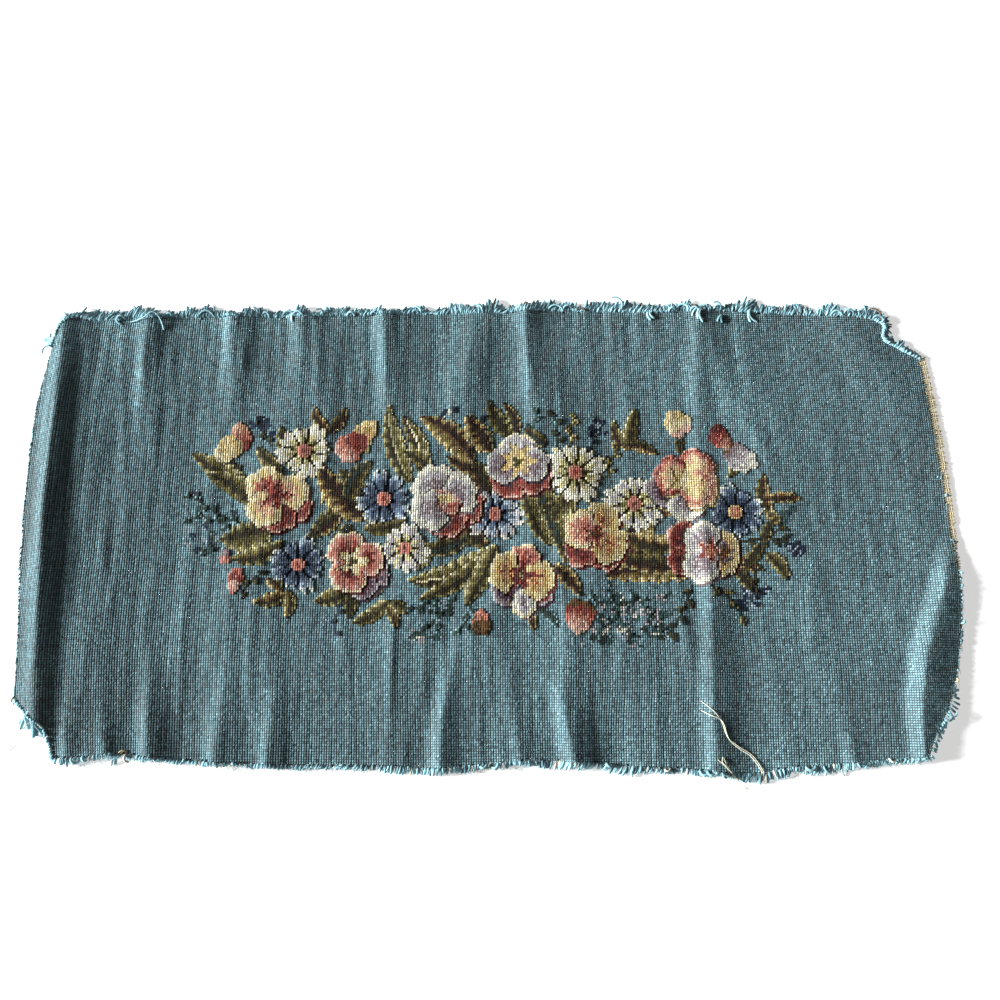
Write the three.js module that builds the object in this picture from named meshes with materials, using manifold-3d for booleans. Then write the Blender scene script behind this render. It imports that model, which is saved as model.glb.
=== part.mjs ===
// A needlepoint panel: canvas worked all over in wool tent stitch, cut from a long seat cover and laid out flat.
// Its raw edges have frayed into short wool fringe, one side shows a margin of bare canvas, and soft creases from
// storage still stand up in it. Millimetres, +Z up, the design's top towards +Y, resting on z = 0.
import * as THREE from "three";
import { mergeVertices } from "three/addons/utils/BufferGeometryUtils.js";
import Module from "manifold-3d";

const wasm = await Module();
wasm.setup();

// Driving sizes
const CLOTH_THICKNESS = 2.2;
const SLAB = { width: 734, height: 376, columns: 106, rows: 14 };
const PART_GAP = 0.3;
const CUT_BELOW = -5;
const CUT_HEIGHT = 40;
const EDGE_STEP = 9;
const CORNER_TRIM = 1.2;
const MITRE_LIMIT = 0.5;
const YARN_END = { sides: 3, rings: 1, tipShare: 0.5, clear: 0.04, turn: 0.2, sway: 1.2, shortest: 0.7, longest: 1.2 };
const ROOT_SHARE = 0.45;
const THREAD_STEP = 5;

// The cut edges of the worked canvas, anticlockwise from the lower left corner, as [x, y].
const EDGES = {
  bottom: [
    [-349, -127],
    [-336, -139],
    [-323, -148],
    [-319, -157],
    [-314, -169],
    [-297, -169],
    [-268, -167],
    [-239, -170],
    [-195, -173],
    [-136, -175],
    [-78, -175],
    [-35, -177],
    [9, -173],
    [53, -172],
    [111, -176],
    [154, -178],
    [183, -181],
    [227, -176],
    [271, -173],
    [318, -169],
  ],
  right: [
    [318, -169],
    [323, -157],
    [334, -139],
    [345, -114],
    [352, -85],
    [356, -50],
    [356, -16],
    [354, 23],
    [352, 63],
    [349, 105],
    [346, 139],
  ],
  top: [
    [346, 139],
    [330, 147],
    [317, 156],
    [319, 167],
    [308, 173],
    [254, 177],
    [188, 180],
    [123, 179],
    [58, 180],
    [-7, 178],
    [-73, 177],
    [-138, 175],
    [-203, 175],
    [-268, 174],
    [-317, 171],
    [-333, 173],
    [-344, 167],
    [-351, 147],
  ],
  left: [
    [-351, 147],
    [-358, 105],
    [-360, 63],
    [-359, 23],
    [-357, -24],
    [-354, -60],
    [-351, -92],
    [-349, -127],
  ],
};

// The creases: each crest runs through its rows of { x, y, rise }, and falls away to either side.
const FOLDS = [
  {
    name: "rolled left side",
    left: 19,
    right: 31,
    crest: [
      { x: -341, y: 178, rise: 6 },
      { x: -340, y: 105, rise: 9.5 },
      { x: -340, y: 20, rise: 10.5 },
      { x: -336, y: -45, rise: 11 },
      { x: -331, y: -125, rise: 9 },
      { x: -329, y: -160, rise: 6 },
    ],
  },
  {
    name: "upper crease left of the middle",
    left: 16,
    right: 22,
    crest: [
      { x: -87, y: 190, rise: 6 },
      { x: -82, y: 130, rise: 4.5 },
      { x: -76, y: 62, rise: 0 },
    ],
  },
  {
    name: "upper crease right of the middle",
    left: 17,
    right: 22,
    crest: [
      { x: 29, y: 192, rise: 5.5 },
      { x: 31, y: 130, rise: 4 },
      { x: 34, y: 68, rise: 0 },
    ],
  },
  {
    name: "lower crease left of the middle",
    left: 14,
    right: 20,
    crest: [
      { x: -36, y: -190, rise: 6 },
      { x: -34, y: -140, rise: 4.5 },
      { x: -20, y: -72, rise: 0 },
    ],
  },
  {
    name: "lower crease right of the middle",
    left: 14,
    right: 24,
    crest: [
      { x: 65, y: -190, rise: 6.5 },
      { x: 57, y: -145, rise: 4.5 },
      { x: 44, y: -92, rise: 0 },
    ],
  },
  {
    name: "long crease",
    left: 14,
    right: 26,
    crest: [
      { x: 168, y: 190, rise: 3.5 },
      { x: 164, y: 20, rise: 2 },
      { x: 167, y: -60, rise: 3.6 },
      { x: 163, y: -195, rise: 4.6 },
    ],
  },
  {
    name: "raised lower right corner",
    left: 20,
    right: 62,
    crest: [
      { x: 356, y: -8, rise: 0 },
      { x: 346, y: -42, rise: 6 },
      { x: 327, y: -90, rise: 8.5 },
      { x: 319, y: -130, rise: 8.5 },
      { x: 317, y: -190, rise: 6.5 },
    ],
  },
  {
    name: "small lower right crease",
    left: 10,
    right: 20,
    crest: [
      { x: 266, y: -190, rise: 4.5 },
      { x: 262, y: -130, rise: 0 },
    ],
  },
  {
    name: "lower left crease",
    left: 14,
    right: 20,
    crest: [
      { x: -244, y: -190, rise: 5.5 },
      { x: -249, y: -140, rise: 4 },
      { x: -253, y: -78, rise: 0 },
    ],
  },
  {
    name: "middle lower left crease",
    left: 14,
    right: 18,
    crest: [
      { x: -199, y: -190, rise: 4 },
      { x: -196, y: -105, rise: 0 },
    ],
  },
  {
    name: "inner lower left crease",
    left: 11,
    right: 18,
    crest: [
      { x: -161, y: -190, rise: 4.5 },
      { x: -156, y: -95, rise: 0 },
    ],
  },
  {
    name: "upper left crease",
    left: 16,
    right: 20,
    crest: [
      { x: -276, y: 190, rise: 3.2 },
      { x: -274, y: 80, rise: 0 },
    ],
  },
  {
    name: "inner upper left crease",
    left: 16,
    right: 22,
    crest: [
      { x: -209, y: 190, rise: 4.5 },
      { x: -202, y: 60, rise: 0 },
    ],
  },
  {
    name: "upper crease a quarter of the way in",
    left: 14,
    right: 18,
    crest: [
      { x: -154, y: 190, rise: 3.8 },
      { x: -150, y: 92, rise: 0 },
    ],
  },
  {
    name: "lower crease at the middle",
    left: 12,
    right: 14,
    crest: [
      { x: 26, y: -190, rise: 3.6 },
      { x: 15, y: -90, rise: 0 },
    ],
  },
  {
    name: "small lower left crease",
    left: 10,
    right: 14,
    crest: [
      { x: -274, y: -190, rise: 3.8 },
      { x: -283, y: -134, rise: 0 },
    ],
  },
];

// The pale sewing threads that hang on in the lower edge. Each starts in the strip, climbs over the edge, and then
// lies on the cloth; above is the height of its middle over the cloth's upper face.
const THREADS = [
  {
    radius: 0.55,
    path: [
      { x: 200, y: -181.9, above: -1 },
      { x: 199, y: -181, above: 1.2 },
      { x: 190, y: -169.4, above: 1.3 },
      { x: 180.7, y: -160.2, above: 1.3 },
      { x: 175.9, y: -142.5, above: 1.3 },
      { x: 155.1, y: -131.7, above: 1.3 },
    ],
  },
  {
    radius: 0.5,
    path: [
      { x: 176, y: -182.7, above: -1 },
      { x: 175.5, y: -181.8, above: 1.2 },
      { x: 166, y: -175, above: 1.3 },
      { x: 155.3, y: -158.1, above: 1.3 },
    ],
  },
];

// The edge strips, each with the run of edge it follows and rows along it, from 0 at its start to 1 at its end:
// the strip's width, and the length of the yarn ends that stand out of it (0 where there are none).
const STRIPS = [
  {
    name: "fringe_bottom",
    edge: "bottom",
    colour: "wool",
    thickness: CLOTH_THICKNESS,
    spacing: 7.8,
    lockRadius: 1.35,
    threads: THREADS,
    rows: [
      { at: 0, width: 3, ends: 7 },
      { at: 0.05, width: 3.2, ends: 8 },
      { at: 0.12, width: 3.4, ends: 5 },
      { at: 0.3, width: 3.4, ends: 4.8 },
      { at: 0.5, width: 3.4, ends: 6 },
      { at: 0.78, width: 3.4, ends: 7.2 },
      { at: 1, width: 3, ends: 5.5 },
    ],
  },
  {
    name: "canvas_margin_right",
    edge: "right",
    colour: "canvas",
    thickness: 1.3,
    spacing: 7,
    lockRadius: 0.75,
    threads: [],
    rows: [
      { at: 0, width: 1.6, ends: 5 },
      { at: 0.06, width: 1.6, ends: 8 },
      { at: 0.12, width: 1.6, ends: 10 },
      { at: 0.17, width: 1.8, ends: 8 },
      { at: 0.2, width: 1.8, ends: 0 },
      { at: 0.4, width: 2, ends: 0 },
      { at: 0.52, width: 4, ends: 0 },
      { at: 0.65, width: 6, ends: 0 },
      { at: 0.85, width: 6.2, ends: 0 },
      { at: 1, width: 5, ends: 0 },
    ],
  },
  {
    name: "fringe_top",
    edge: "top",
    colour: "wool",
    thickness: CLOTH_THICKNESS,
    spacing: 7.8,
    lockRadius: 1.4,
    threads: [],
    rows: [
      { at: 0, width: 3, ends: 5 },
      { at: 0.05, width: 3.4, ends: 6 },
      { at: 0.12, width: 3.6, ends: 6.5 },
      { at: 0.4, width: 3.6, ends: 7.5 },
      { at: 0.7, width: 3.4, ends: 5.5 },
      { at: 0.94, width: 3.2, ends: 6.5 },
      { at: 1, width: 3, ends: 3.5 },
    ],
  },
  {
    name: "frayed_edge_left",
    edge: "left",
    colour: "wool",
    thickness: 1.6,
    spacing: 13,
    lockRadius: 0.8,
    threads: [],
    rows: [
      { at: 0, width: 1.6, ends: 0 },
      { at: 0.35, width: 1.8, ends: 0 },
      { at: 0.5, width: 2, ends: 1.8 },
      { at: 1, width: 2.2, ends: 2.6 },
    ],
  },
];

const COLOURS = { wool: 0x5b8088, canvas: 0xb9a37c, ground: 0x4f6f76 };

// A repeatable random number in 0..1 for each call.
function seeded(seed) {
  let state = seed;
  return () => {
    state = (state * 1664525 + 1013904223) % 4294967296;
    return state / 4294967296;
  };
}

const lerp = THREE.MathUtils.lerp;
const clamp = THREE.MathUtils.clamp;

// The value of a table's column at a place along it, with straight lines between the rows.
function between(rows, key, place, column) {
  const next = rows.findIndex((row) => row[key] >= place);
  if (next <= 0) return (next === 0 ? rows[0] : rows[rows.length - 1])[column];
  const low = rows[next - 1];
  const high = rows[next];
  return lerp(low[column], high[column], (place - low[key]) / (high[key] - low[key]));
}

// A crease's profile: a soft foot at 0 and a firm crest at 1.
function profile(share) {
  const t = clamp(share, 0, 1);
  return t * t * (2 - t);
}

const CRESTS = FOLDS.map((fold) => ({
  ...fold,
  crest: [...fold.crest].sort((a, b) => a.y - b.y),
}));

// How high the cloth's underside stands over the table.
function liftAt(x, y) {
  let lift = 0;
  for (const { crest, left, right } of CRESTS) {
    if (y < crest[0].y || y > crest[crest.length - 1].y) continue;
    const off = x - between(crest, "y", y, "x");
    const share = off < 0 ? 1 + off / left : 1 - off / right;
    lift += between(crest, "y", y, "rise") * profile(share);
  }
  return lift;
}

// The same on the slab's own grid, whose flat facets run straight between its columns and rows.
function gridLiftAt(x, y) {
  const across = SLAB.width / SLAB.columns;
  const along = SLAB.height / SLAB.rows;
  const x0 = Math.floor((x + SLAB.width / 2) / across) * across - SLAB.width / 2;
  const y0 = Math.floor((y + SLAB.height / 2) / along) * along - SLAB.height / 2;
  const low = lerp(liftAt(x0, y0), liftAt(x0 + across, y0), (x - x0) / across);
  const high = lerp(liftAt(x0, y0 + along), liftAt(x0 + across, y0 + along), (x - x0) / across);
  return lerp(low, high, (y - y0) / along);
}

// A three.js geometry as a solid for cutting and joining.
function solidOf(geometry) {
  const bare = geometry.clone();
  bare.deleteAttribute("normal");
  bare.deleteAttribute("uv");
  const merged = mergeVertices(bare);
  return new wasm.Manifold(
    new wasm.Mesh({
      numProp: 3,
      vertProperties: new Float32Array(merged.attributes.position.array),
      triVerts: new Uint32Array(merged.index.array),
    }),
  );
}

function geometryOf(solid) {
  const mesh = solid.getMesh();
  const geometry = new THREE.BufferGeometry();
  geometry.setAttribute("position", new THREE.BufferAttribute(mesh.vertProperties, 3));
  geometry.setIndex(new THREE.BufferAttribute(mesh.triVerts, 1));
  geometry.computeVertexNormals();
  return geometry;
}

// A slab of cloth over the whole table, standing up in its creases.
function clothSlab(thickness) {
  const geometry = new THREE.BoxGeometry(SLAB.width, SLAB.height, thickness, SLAB.columns, SLAB.rows, 1);
  const places = geometry.attributes.position;
  for (let i = 0; i < places.count; i++) {
    const lift = liftAt(places.getX(i), places.getY(i));
    places.setZ(i, places.getZ(i) + thickness / 2 + lift);
  }
  return solidOf(geometry);
}

// A run of edge as evenly spaced points.
function edgePoints(name) {
  const curve = new THREE.CatmullRomCurve3(
    EDGES[name].map(([x, y]) => new THREE.Vector3(x, y, 0)),
    false,
    "centripetal",
  );
  const steps = Math.round(curve.getLength() / EDGE_STEP);
  return curve.getSpacedPoints(steps).map((p) => new THREE.Vector2(p.x, p.y));
}

// The direction out of the cloth at a point of a run, which goes anticlockwise, and the mitre of the bend there.
function outward(points, i) {
  const before = points[Math.max(i - 1, 0)];
  const after = points[Math.min(i + 1, points.length - 1)];
  const along = after.clone().sub(before).normalize();
  const out = new THREE.Vector2(along.y, -along.x);
  if (i === 0 || i === points.length - 1) return { out, mitre: 1 };
  const step = after.clone().sub(points[i]).normalize();
  return { out, mitre: 1 / Math.max(step.dot(along), MITRE_LIMIT) };
}

// A run of edge moved outward, trimmed at both ends so that the strips stay apart at the corners.
function offsetRun(points, distanceAt) {
  const line = points.map((p, i) => {
    const { out, mitre } = outward(points, i);
    return p.clone().addScaledVector(out, distanceAt(i) * mitre);
  });
  const last = line.length - 1;
  const trim = CORNER_TRIM / EDGE_STEP;
  line[0] = line[0].clone().lerp(line[1], trim);
  line[last] = line[last].clone().lerp(line[last - 1], trim);
  return line;
}

function prismOf(outline) {
  const geometry = new THREE.ExtrudeGeometry(new THREE.Shape(outline), { depth: CUT_HEIGHT, bevelEnabled: false });
  geometry.translate(0, 0, CUT_BELOW);
  return solidOf(geometry);
}

// A yarn end: a thin tapered tuft that leaves its root along a heading, and sinks to the table.
function yarnEnd({ root, heading, length, radius, sway }) {
  const geometry = new THREE.CylinderGeometry(
    radius * YARN_END.tipShare,
    radius,
    length,
    YARN_END.sides,
    YARN_END.rings,
  );
  const side = new THREE.Vector2(-heading.y, heading.x);
  const rootLift = gridLiftAt(root.x, root.y);
  const places = geometry.attributes.position;
  for (let i = 0; i < places.count; i++) {
    const share = places.getY(i) / length + 0.5;
    const across = -places.getX(i) + sway * share * share;
    const place = root
      .clone()
      .addScaledVector(heading, length * share)
      .addScaledVector(side, across);
    const belowMiddle = (radius * lerp(1, YARN_END.tipShare, share)) / 2;
    const middle = YARN_END.clear + belowMiddle + rootLift * (1 - share) ** 2;
    places.setXYZ(i, place.x, place.y, middle + places.getZ(i));
  }
  return solidOf(geometry);
}

// The yarn ends that stand out of a strip, at its spacing along the run.
function yarnEnds(strip, run, random) {
  const last = run.length - 1;
  const reach = last * EDGE_STEP;
  const solids = [];
  for (let along = strip.spacing; along < reach - strip.spacing; along += strip.spacing) {
    const share = along / reach;
    const width = between(strip.rows, "at", share, "width");
    const ends = between(strip.rows, "at", share, "ends") * lerp(YARN_END.shortest, YARN_END.longest, random());
    const turn = lerp(-YARN_END.turn, YARN_END.turn, random());
    const sway = lerp(-YARN_END.sway, YARN_END.sway, random());
    if (ends < 1) continue;
    const i = Math.floor(share * last);
    const { out } = outward(run, i);
    const root = run[i].clone().lerp(run[i + 1], share * last - i);
    root.addScaledVector(out, PART_GAP + width * ROOT_SHARE);
    const heading = out.clone().rotateAround(new THREE.Vector2(), turn);
    const length = ends + width * (1 - ROOT_SHARE);
    solids.push(yarnEnd({ root, heading, length, radius: strip.lockRadius, sway }));
  }
  return solids;
}

// A thread that starts in its strip and then lies on the cloth.
function looseThread({ radius, path }) {
  const flat = new THREE.CatmullRomCurve3(
    path.map(({ x, y, above }) => new THREE.Vector3(x, y, above)),
    false,
    "centripetal",
  );
  const steps = Math.round(flat.getLength() / THREAD_STEP) * 2;
  const lying = flat
    .getPoints(steps)
    .map((p) => new THREE.Vector3(p.x, p.y, p.z + CLOTH_THICKNESS + gridLiftAt(p.x, p.y)));
  const section = new THREE.Shape([
    new THREE.Vector2(radius, 0),
    new THREE.Vector2(0, radius),
    new THREE.Vector2(-radius, 0),
    new THREE.Vector2(0, -radius),
  ]);
  const curve = new THREE.CatmullRomCurve3(lying, false, "centripetal");
  return solidOf(new THREE.ExtrudeGeometry(section, { steps, bevelEnabled: false, extrudePath: curve }));
}

// An edge strip with its yarn ends, which are fused into it at their roots.
function edgeStrip(strip, number) {
  const run = edgePoints(strip.edge);
  const last = run.length - 1;
  const inner = offsetRun(run, () => PART_GAP);
  const outer = offsetRun(run, (i) => PART_GAP + between(strip.rows, "at", i / last, "width"));
  const band = clothSlab(strip.thickness).intersect(prismOf([...inner, ...outer.reverse()]));
  const ends = yarnEnds(strip, run, seeded(number + 11));
  const threads = strip.threads.map((thread) => looseThread(thread));
  return [...ends, ...threads].reduce((whole, piece) => whole.add(piece), band);
}

// The worked panel itself, cut out of the slab along its four runs of edge.
function workedPanel() {
  const outline = ["bottom", "right", "top", "left"].flatMap((name) => edgePoints(name).slice(0, -1));
  return clothSlab(CLOTH_THICKNESS).intersect(prismOf(outline));
}

function meshOf(name, solid, colour) {
  const material = new THREE.MeshStandardMaterial({ color: COLOURS[colour], roughness: 0.95, metalness: 0 });
  const mesh = new THREE.Mesh(geometryOf(solid), material);
  mesh.name = name;
  return mesh;
}

const needlepoint = new THREE.Group();
needlepoint.add(meshOf("worked_panel", workedPanel(), "ground"));
STRIPS.forEach((strip, i) => needlepoint.add(meshOf(strip.name, edgeStrip(strip, i), strip.colour)));

// The whole is centred on the table.
const box = new THREE.Box3().setFromObject(needlepoint);
const middle = box.getCenter(new THREE.Vector3());
for (const mesh of needlepoint.children) mesh.geometry.translate(-middle.x, -middle.y, -box.min.z);

export default needlepoint;
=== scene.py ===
"""A needlepoint panel laid flat: canvas worked in wool tent stitch, with a floral spray and frayed edges."""

import logging
import math
from collections.abc import Callable
from dataclasses import dataclass, field
from enum import Enum

import bpy
import numpy as np
from bpy.types import Material, Mesh, Node, NodeSocket, Object
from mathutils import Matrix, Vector
from numpy.random import Generator, default_rng


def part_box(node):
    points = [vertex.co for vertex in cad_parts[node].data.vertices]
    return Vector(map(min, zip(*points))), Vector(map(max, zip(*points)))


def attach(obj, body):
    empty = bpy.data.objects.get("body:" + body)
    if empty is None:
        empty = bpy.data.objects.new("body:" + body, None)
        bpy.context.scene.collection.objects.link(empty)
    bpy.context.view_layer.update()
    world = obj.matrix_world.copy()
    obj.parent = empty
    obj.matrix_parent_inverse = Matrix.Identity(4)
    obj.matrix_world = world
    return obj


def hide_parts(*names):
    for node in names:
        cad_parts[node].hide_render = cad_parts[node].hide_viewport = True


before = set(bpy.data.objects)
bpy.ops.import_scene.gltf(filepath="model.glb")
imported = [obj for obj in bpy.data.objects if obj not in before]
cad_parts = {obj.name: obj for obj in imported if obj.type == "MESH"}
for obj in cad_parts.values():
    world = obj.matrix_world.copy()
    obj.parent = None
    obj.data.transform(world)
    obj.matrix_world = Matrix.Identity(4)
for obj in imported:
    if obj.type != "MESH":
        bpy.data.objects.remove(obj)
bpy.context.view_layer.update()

Array = np.ndarray
Pair = tuple[float, float]
Triple = tuple[float, float, float]
# A screen colour: red, green and blue, each of 0 to 255
Shade = tuple[int, int, int]
LOG = logging.getLogger("needlepoint")

# Sizes are in millimetres, and this makes them metres.
MM = 0.001
# One hole of the canvas to the next: fourteen to the inch.
PITCH = 1.814
PANEL_NODE = "worked_panel"
BODY = "root"
# How far the petals and the leaves stand up from the ground, where the wool is fuller.
PETAL_RELIEF = 1.1
LEAF_RELIEF = 0.7
# How far a petal's shade falls to the right and down, in stitches.
SHADOW_STEP = 0.95
YARN_ATTRIBUTE = "yarn"
THICK_ATTRIBUTE = "thick"
FACING_ATTRIBUTE = "facing"
EXTENT_ATTRIBUTE = "extent"


class Kind(Enum):
    """What an attribute holds at each point, with its data's label."""

    FLOAT = "value"
    FLOAT_VECTOR = "vector"


class Side(Enum):
    """The four runs of cut edge, in order round the cloth."""

    BOTTOM = "bottom"
    RIGHT = "right"
    TOP = "top"
    LEFT = "left"


# The cut edges of the worked canvas, anticlockwise from the lower left corner.
EDGES = {
    Side.BOTTOM: (
        (-349, -127), (-336, -139), (-323, -148), (-319, -157), (-314, -169), (-297, -169), (-268, -167),
        (-239, -170), (-195, -173), (-136, -175), (-78, -175), (-35, -177), (9, -173), (53, -172),
        (111, -176), (154, -178), (183, -181), (227, -176), (271, -173), (318, -169),
    ),
    Side.RIGHT: (
        (318, -169), (323, -157), (334, -139), (345, -114), (352, -85), (356, -50), (356, -16),
        (354, 23), (352, 63), (349, 105), (346, 139),
    ),
    Side.TOP: (
        (346, 139), (330, 147), (317, 156), (319, 167), (308, 173), (254, 177), (188, 180), (123, 179),
        (58, 180), (-7, 178), (-73, 177), (-138, 175), (-203, 175), (-268, 174), (-317, 171),
        (-333, 173), (-344, 167), (-351, 147),
    ),
    Side.LEFT: (
        (-351, 147), (-358, 105), (-360, 63), (-359, 23), (-357, -24), (-354, -60), (-351, -92),
        (-349, -127),
    ),
}


def colour(shade: Shade) -> Array:
    """A screen colour of 0 to 255 as linear light of 0 to 1."""
    share = np.array(shade, float) / 255
    return np.where(share <= 0.04045, share / 12.92, ((share + 0.055) / 1.055) ** 2.4)


class Yarn(Enum):
    """The wool shades of the design, as screen colours."""

    WHITE = (204, 199, 184)
    CREAM = (207, 193, 158)
    STRAW = (190, 170, 124)
    GOLD = (174, 146, 98)
    AMBER = (176, 132, 92)
    PEACH = (197, 156, 130)
    PINK = (198, 158, 143)
    CORAL = (170, 111, 97)
    RED = (124, 62, 55)
    MAROON = (86, 44, 42)
    MAUVE = (124, 108, 112)
    PLUM = (70, 54, 66)
    LILAC = (162, 156, 157)
    PALE_BLUE = (142, 154, 164)
    BLUE = (88, 100, 118)
    SLATE = (56, 65, 80)
    NAVY = (32, 40, 55)
    LICHEN = (184, 174, 134)
    SAGE = (143, 136, 98)
    MOSS = (107, 97, 60)
    OLIVE = (77, 69, 43)
    DARK_OLIVE = (47, 42, 29)
    BOTTLE = (46, 57, 52)
    TEAL_GREEN = (60, 82, 80)
    BRONZE = (88, 64, 40)
    GOLDEN_BROWN = (136, 117, 76)
    DARK_BROWN = (48, 35, 28)
    UMBER = (54, 42, 38)
    GROUND = (105, 130, 137)
    GROUND_PALE = (118, 147, 154)
    GROUND_GREY = (102, 118, 122)

    @property
    def light(self) -> Array:
        """The shade as linear light."""
        return colour(self.value)


Run = tuple[Yarn, ...]


def yarns(names: str) -> Run:
    """A run of shades, from their names in order."""
    return tuple(Yarn[name] for name in names.split())


def between(first: Array, last: Array, start: float, end: float, t: Array) -> Array:
    """Points between two, by where each t lies from the start to the end."""
    return (end - t) / (end - start) * first + (t - start) / (end - start) * last


def lengths_along(line: Array) -> Array:
    """How far along a line each of its points lies."""
    return np.concatenate([[0], np.cumsum(np.linalg.norm(np.diff(line, axis=0), axis=1))])


def points_at(line: Array, places: Array) -> Array:
    """The points of a line at places along it."""
    return np.stack([np.interp(places, lengths_along(line), column) for column in line.T], axis=1)


def smooth_line(points: Array, step: float) -> Array:
    """A rounded line through points, with its own points an even step apart.

    Args:
        points: The points it goes through, one a row.
        step: The wanted distance between the line's own points.

    Returns:
        The line's points, one a row, with its first and last as given.
    """
    padded = np.vstack([2 * points[0] - points[1], points, 2 * points[-1] - points[-2]])
    pieces = []
    for four in zip(padded[:-3], padded[1:-2], padded[2:-1], padded[3:]):
        k = np.cumsum([0, *(np.linalg.norm(b - a) ** 0.5 for a, b in zip(four, four[1:]))])
        t = np.linspace(k[1], k[2], 24, endpoint=False)[:, None]
        near = [between(four[n], four[n + 1], k[n], k[n + 1], t) for n in range(3)]
        wide = [between(near[n], near[n + 1], k[n], k[n + 2], t) for n in range(2)]
        pieces.append(between(*wide, k[1], k[2], t))
    line = np.vstack([*pieces, points[-1:]])
    length = lengths_along(line)[-1]
    return points_at(line, np.linspace(0, length, max(int(round(length / step)), 1) + 1))


def left_of(way: Array) -> Array:
    """A direction turned a quarter to its left."""
    return np.array([-way[1], way[0]])


def cut_edge(side: Side, step: float) -> tuple[Array, Array]:
    """A run of the cut edge, and the way out of the cloth along it.

    Args:
        side: The side that the run is on.
        step: The wanted distance between its points.

    Returns:
        The run's points, anticlockwise round the cloth, and a unit direction for each.
    """
    run = smooth_line(np.array(EDGES[side], float), step)
    along = np.gradient(run, axis=0)
    out = np.stack([along[:, 1], -along[:, 0]], axis=1)
    return run, out / np.linalg.norm(out, axis=1, keepdims=True)


def blurred(values: Array, spread: float, axis: int) -> Array:
    """A grid softened along one axis.

    Args:
        values: The grid.
        spread: The softening's standard deviation, in cells.
        axis: The axis to soften along.

    Returns:
        The softened grid.
    """
    reach = int(math.ceil(3 * spread))
    weights = np.exp(-0.5 * (np.arange(-reach, reach + 1) / spread) ** 2)
    weights /= weights.sum()
    padding = [(0, 0), (0, 0)]
    padding[axis] = (reach, reach)
    padded = np.pad(values, padding, mode="edge")
    return np.apply_along_axis(lambda line: np.convolve(line, weights, mode="valid"), axis, padded)


def evened(values: Array) -> Array:
    """Values shifted and scaled to a mean of 0 and a spread of 1."""
    return (values - values.mean()) / values.std()


@dataclass(frozen=True)
class Crease:
    """A crease that stands up in the cloth, with a foot to either side of its crest."""

    # The foot's reach to either side of the crest
    left: float
    right: float
    # The crest, as rows of x, y and rise
    crest: tuple[Triple, ...]

    def lift(self, x: Array, y: Array) -> Array:
        """How far the crease lifts the cloth.

        Args:
            x, y: The places across the table and up it.

        Returns:
            The lift at each place.
        """
        rows = np.array(sorted(self.crest, key=lambda row: row[1]), float)
        middle = np.interp(y, rows[:, 1], rows[:, 0])
        rise = np.interp(y, rows[:, 1], rows[:, 2]) * ((y >= rows[0, 1]) & (y <= rows[-1, 1]))
        off = x - middle
        share = np.clip(1 - np.where(off < 0, -off / self.left, off / self.right), 0, 1)
        return rise * share * share * (2 - share)


CREASES = (
    # The rolled left side and its crest
    Crease(21, 60, (
        (-341, 178, 3.4), (-340, 105, 5.4), (-340, 20, 6),
        (-336, -45, 6.2), (-331, -125, 5), (-329, -160, 3.4),
    )),
    Crease(20, 17, (
        (-341, 178, 2.6), (-340, 105, 4.1), (-340, 20, 4.5),
        (-336, -45, 4.8), (-331, -125, 4), (-329, -160, 2.6),
    )),
    # The long crease, and the raised lower right corner
    Crease(11, 30, ((168, 190, 3.5), (164, 20, 2.2), (167, -60, 3.8), (163, -195, 4.8))),
    Crease(10, 44, ((355, -4, 0), (343, -42, 7), (323, -90, 9.2), (315, -130, 9.2), (313, -190, 7))),
    # The short ones that come in from the upper and the lower edge
    Crease(12, 26, ((-87, 190, 6), (-82, 130, 4.6), (-76, 62, 0))),
    Crease(12, 26, ((29, 192, 5.5), (31, 130, 4.1), (34, 68, 0))),
    Crease(11, 24, ((-36, -190, 6), (-34, -140, 5), (-20, -72, 0))),
    Crease(11, 26, ((65, -190, 6.5), (57, -145, 5), (44, -92, 0))),
    Crease(9, 22, ((266, -190, 4.5), (262, -130, 0))),
    Crease(11, 24, ((-244, -190, 6), (-249, -140, 4.8), (-253, -78, 0))),
    Crease(11, 22, ((-199, -190, 4.6), (-196, -105, 0))),
    Crease(9, 22, ((-161, -190, 5), (-156, -95, 0))),
    Crease(12, 24, ((-276, 190, 3.6), (-274, 80, 0))),
    Crease(12, 26, ((-209, 190, 5.2), (-202, 60, 0))),
    Crease(11, 22, ((-154, 190, 4.2), (-150, 92, 0))),
    Crease(10, 16, ((26, -190, 3.8), (15, -90, 0))),
    Crease(9, 16, ((-274, -190, 4.2), (-283, -134, 0))),
)


@dataclass(frozen=True)
class Ripples:
    """A kind of slight ripple in the cloth. Each pair is a least and a greatest value."""

    count: int
    # Where they lie across the cloth, their half-widths and their half-lengths
    where: Pair
    across: Pair
    along: Pair
    # How far they lean to the left on their way up, and the greatest height
    lean: float
    rise: float


RIPPLES = (
    Ripples(260, (-330, 150), (1.4, 3.2), (14, 60), 0.0, 0.54),
    Ripples(80, (-330, 200), (4, 9), (22, 70), 0.0, 0.9),
    Ripples(16, (-300, 190), (9, 18), (40, 110), 0.0, 1.8),
    Ripples(90, (150, 350), (1.8, 4), (8, 30), 0.25, 0.3),
    Ripples(26, (180, 350), (5, 12), (20, 60), 0.3, 0.75),
    Ripples(7, (190, 320), (10, 22), (30, 90), 0.3, 1.7),
)


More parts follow.
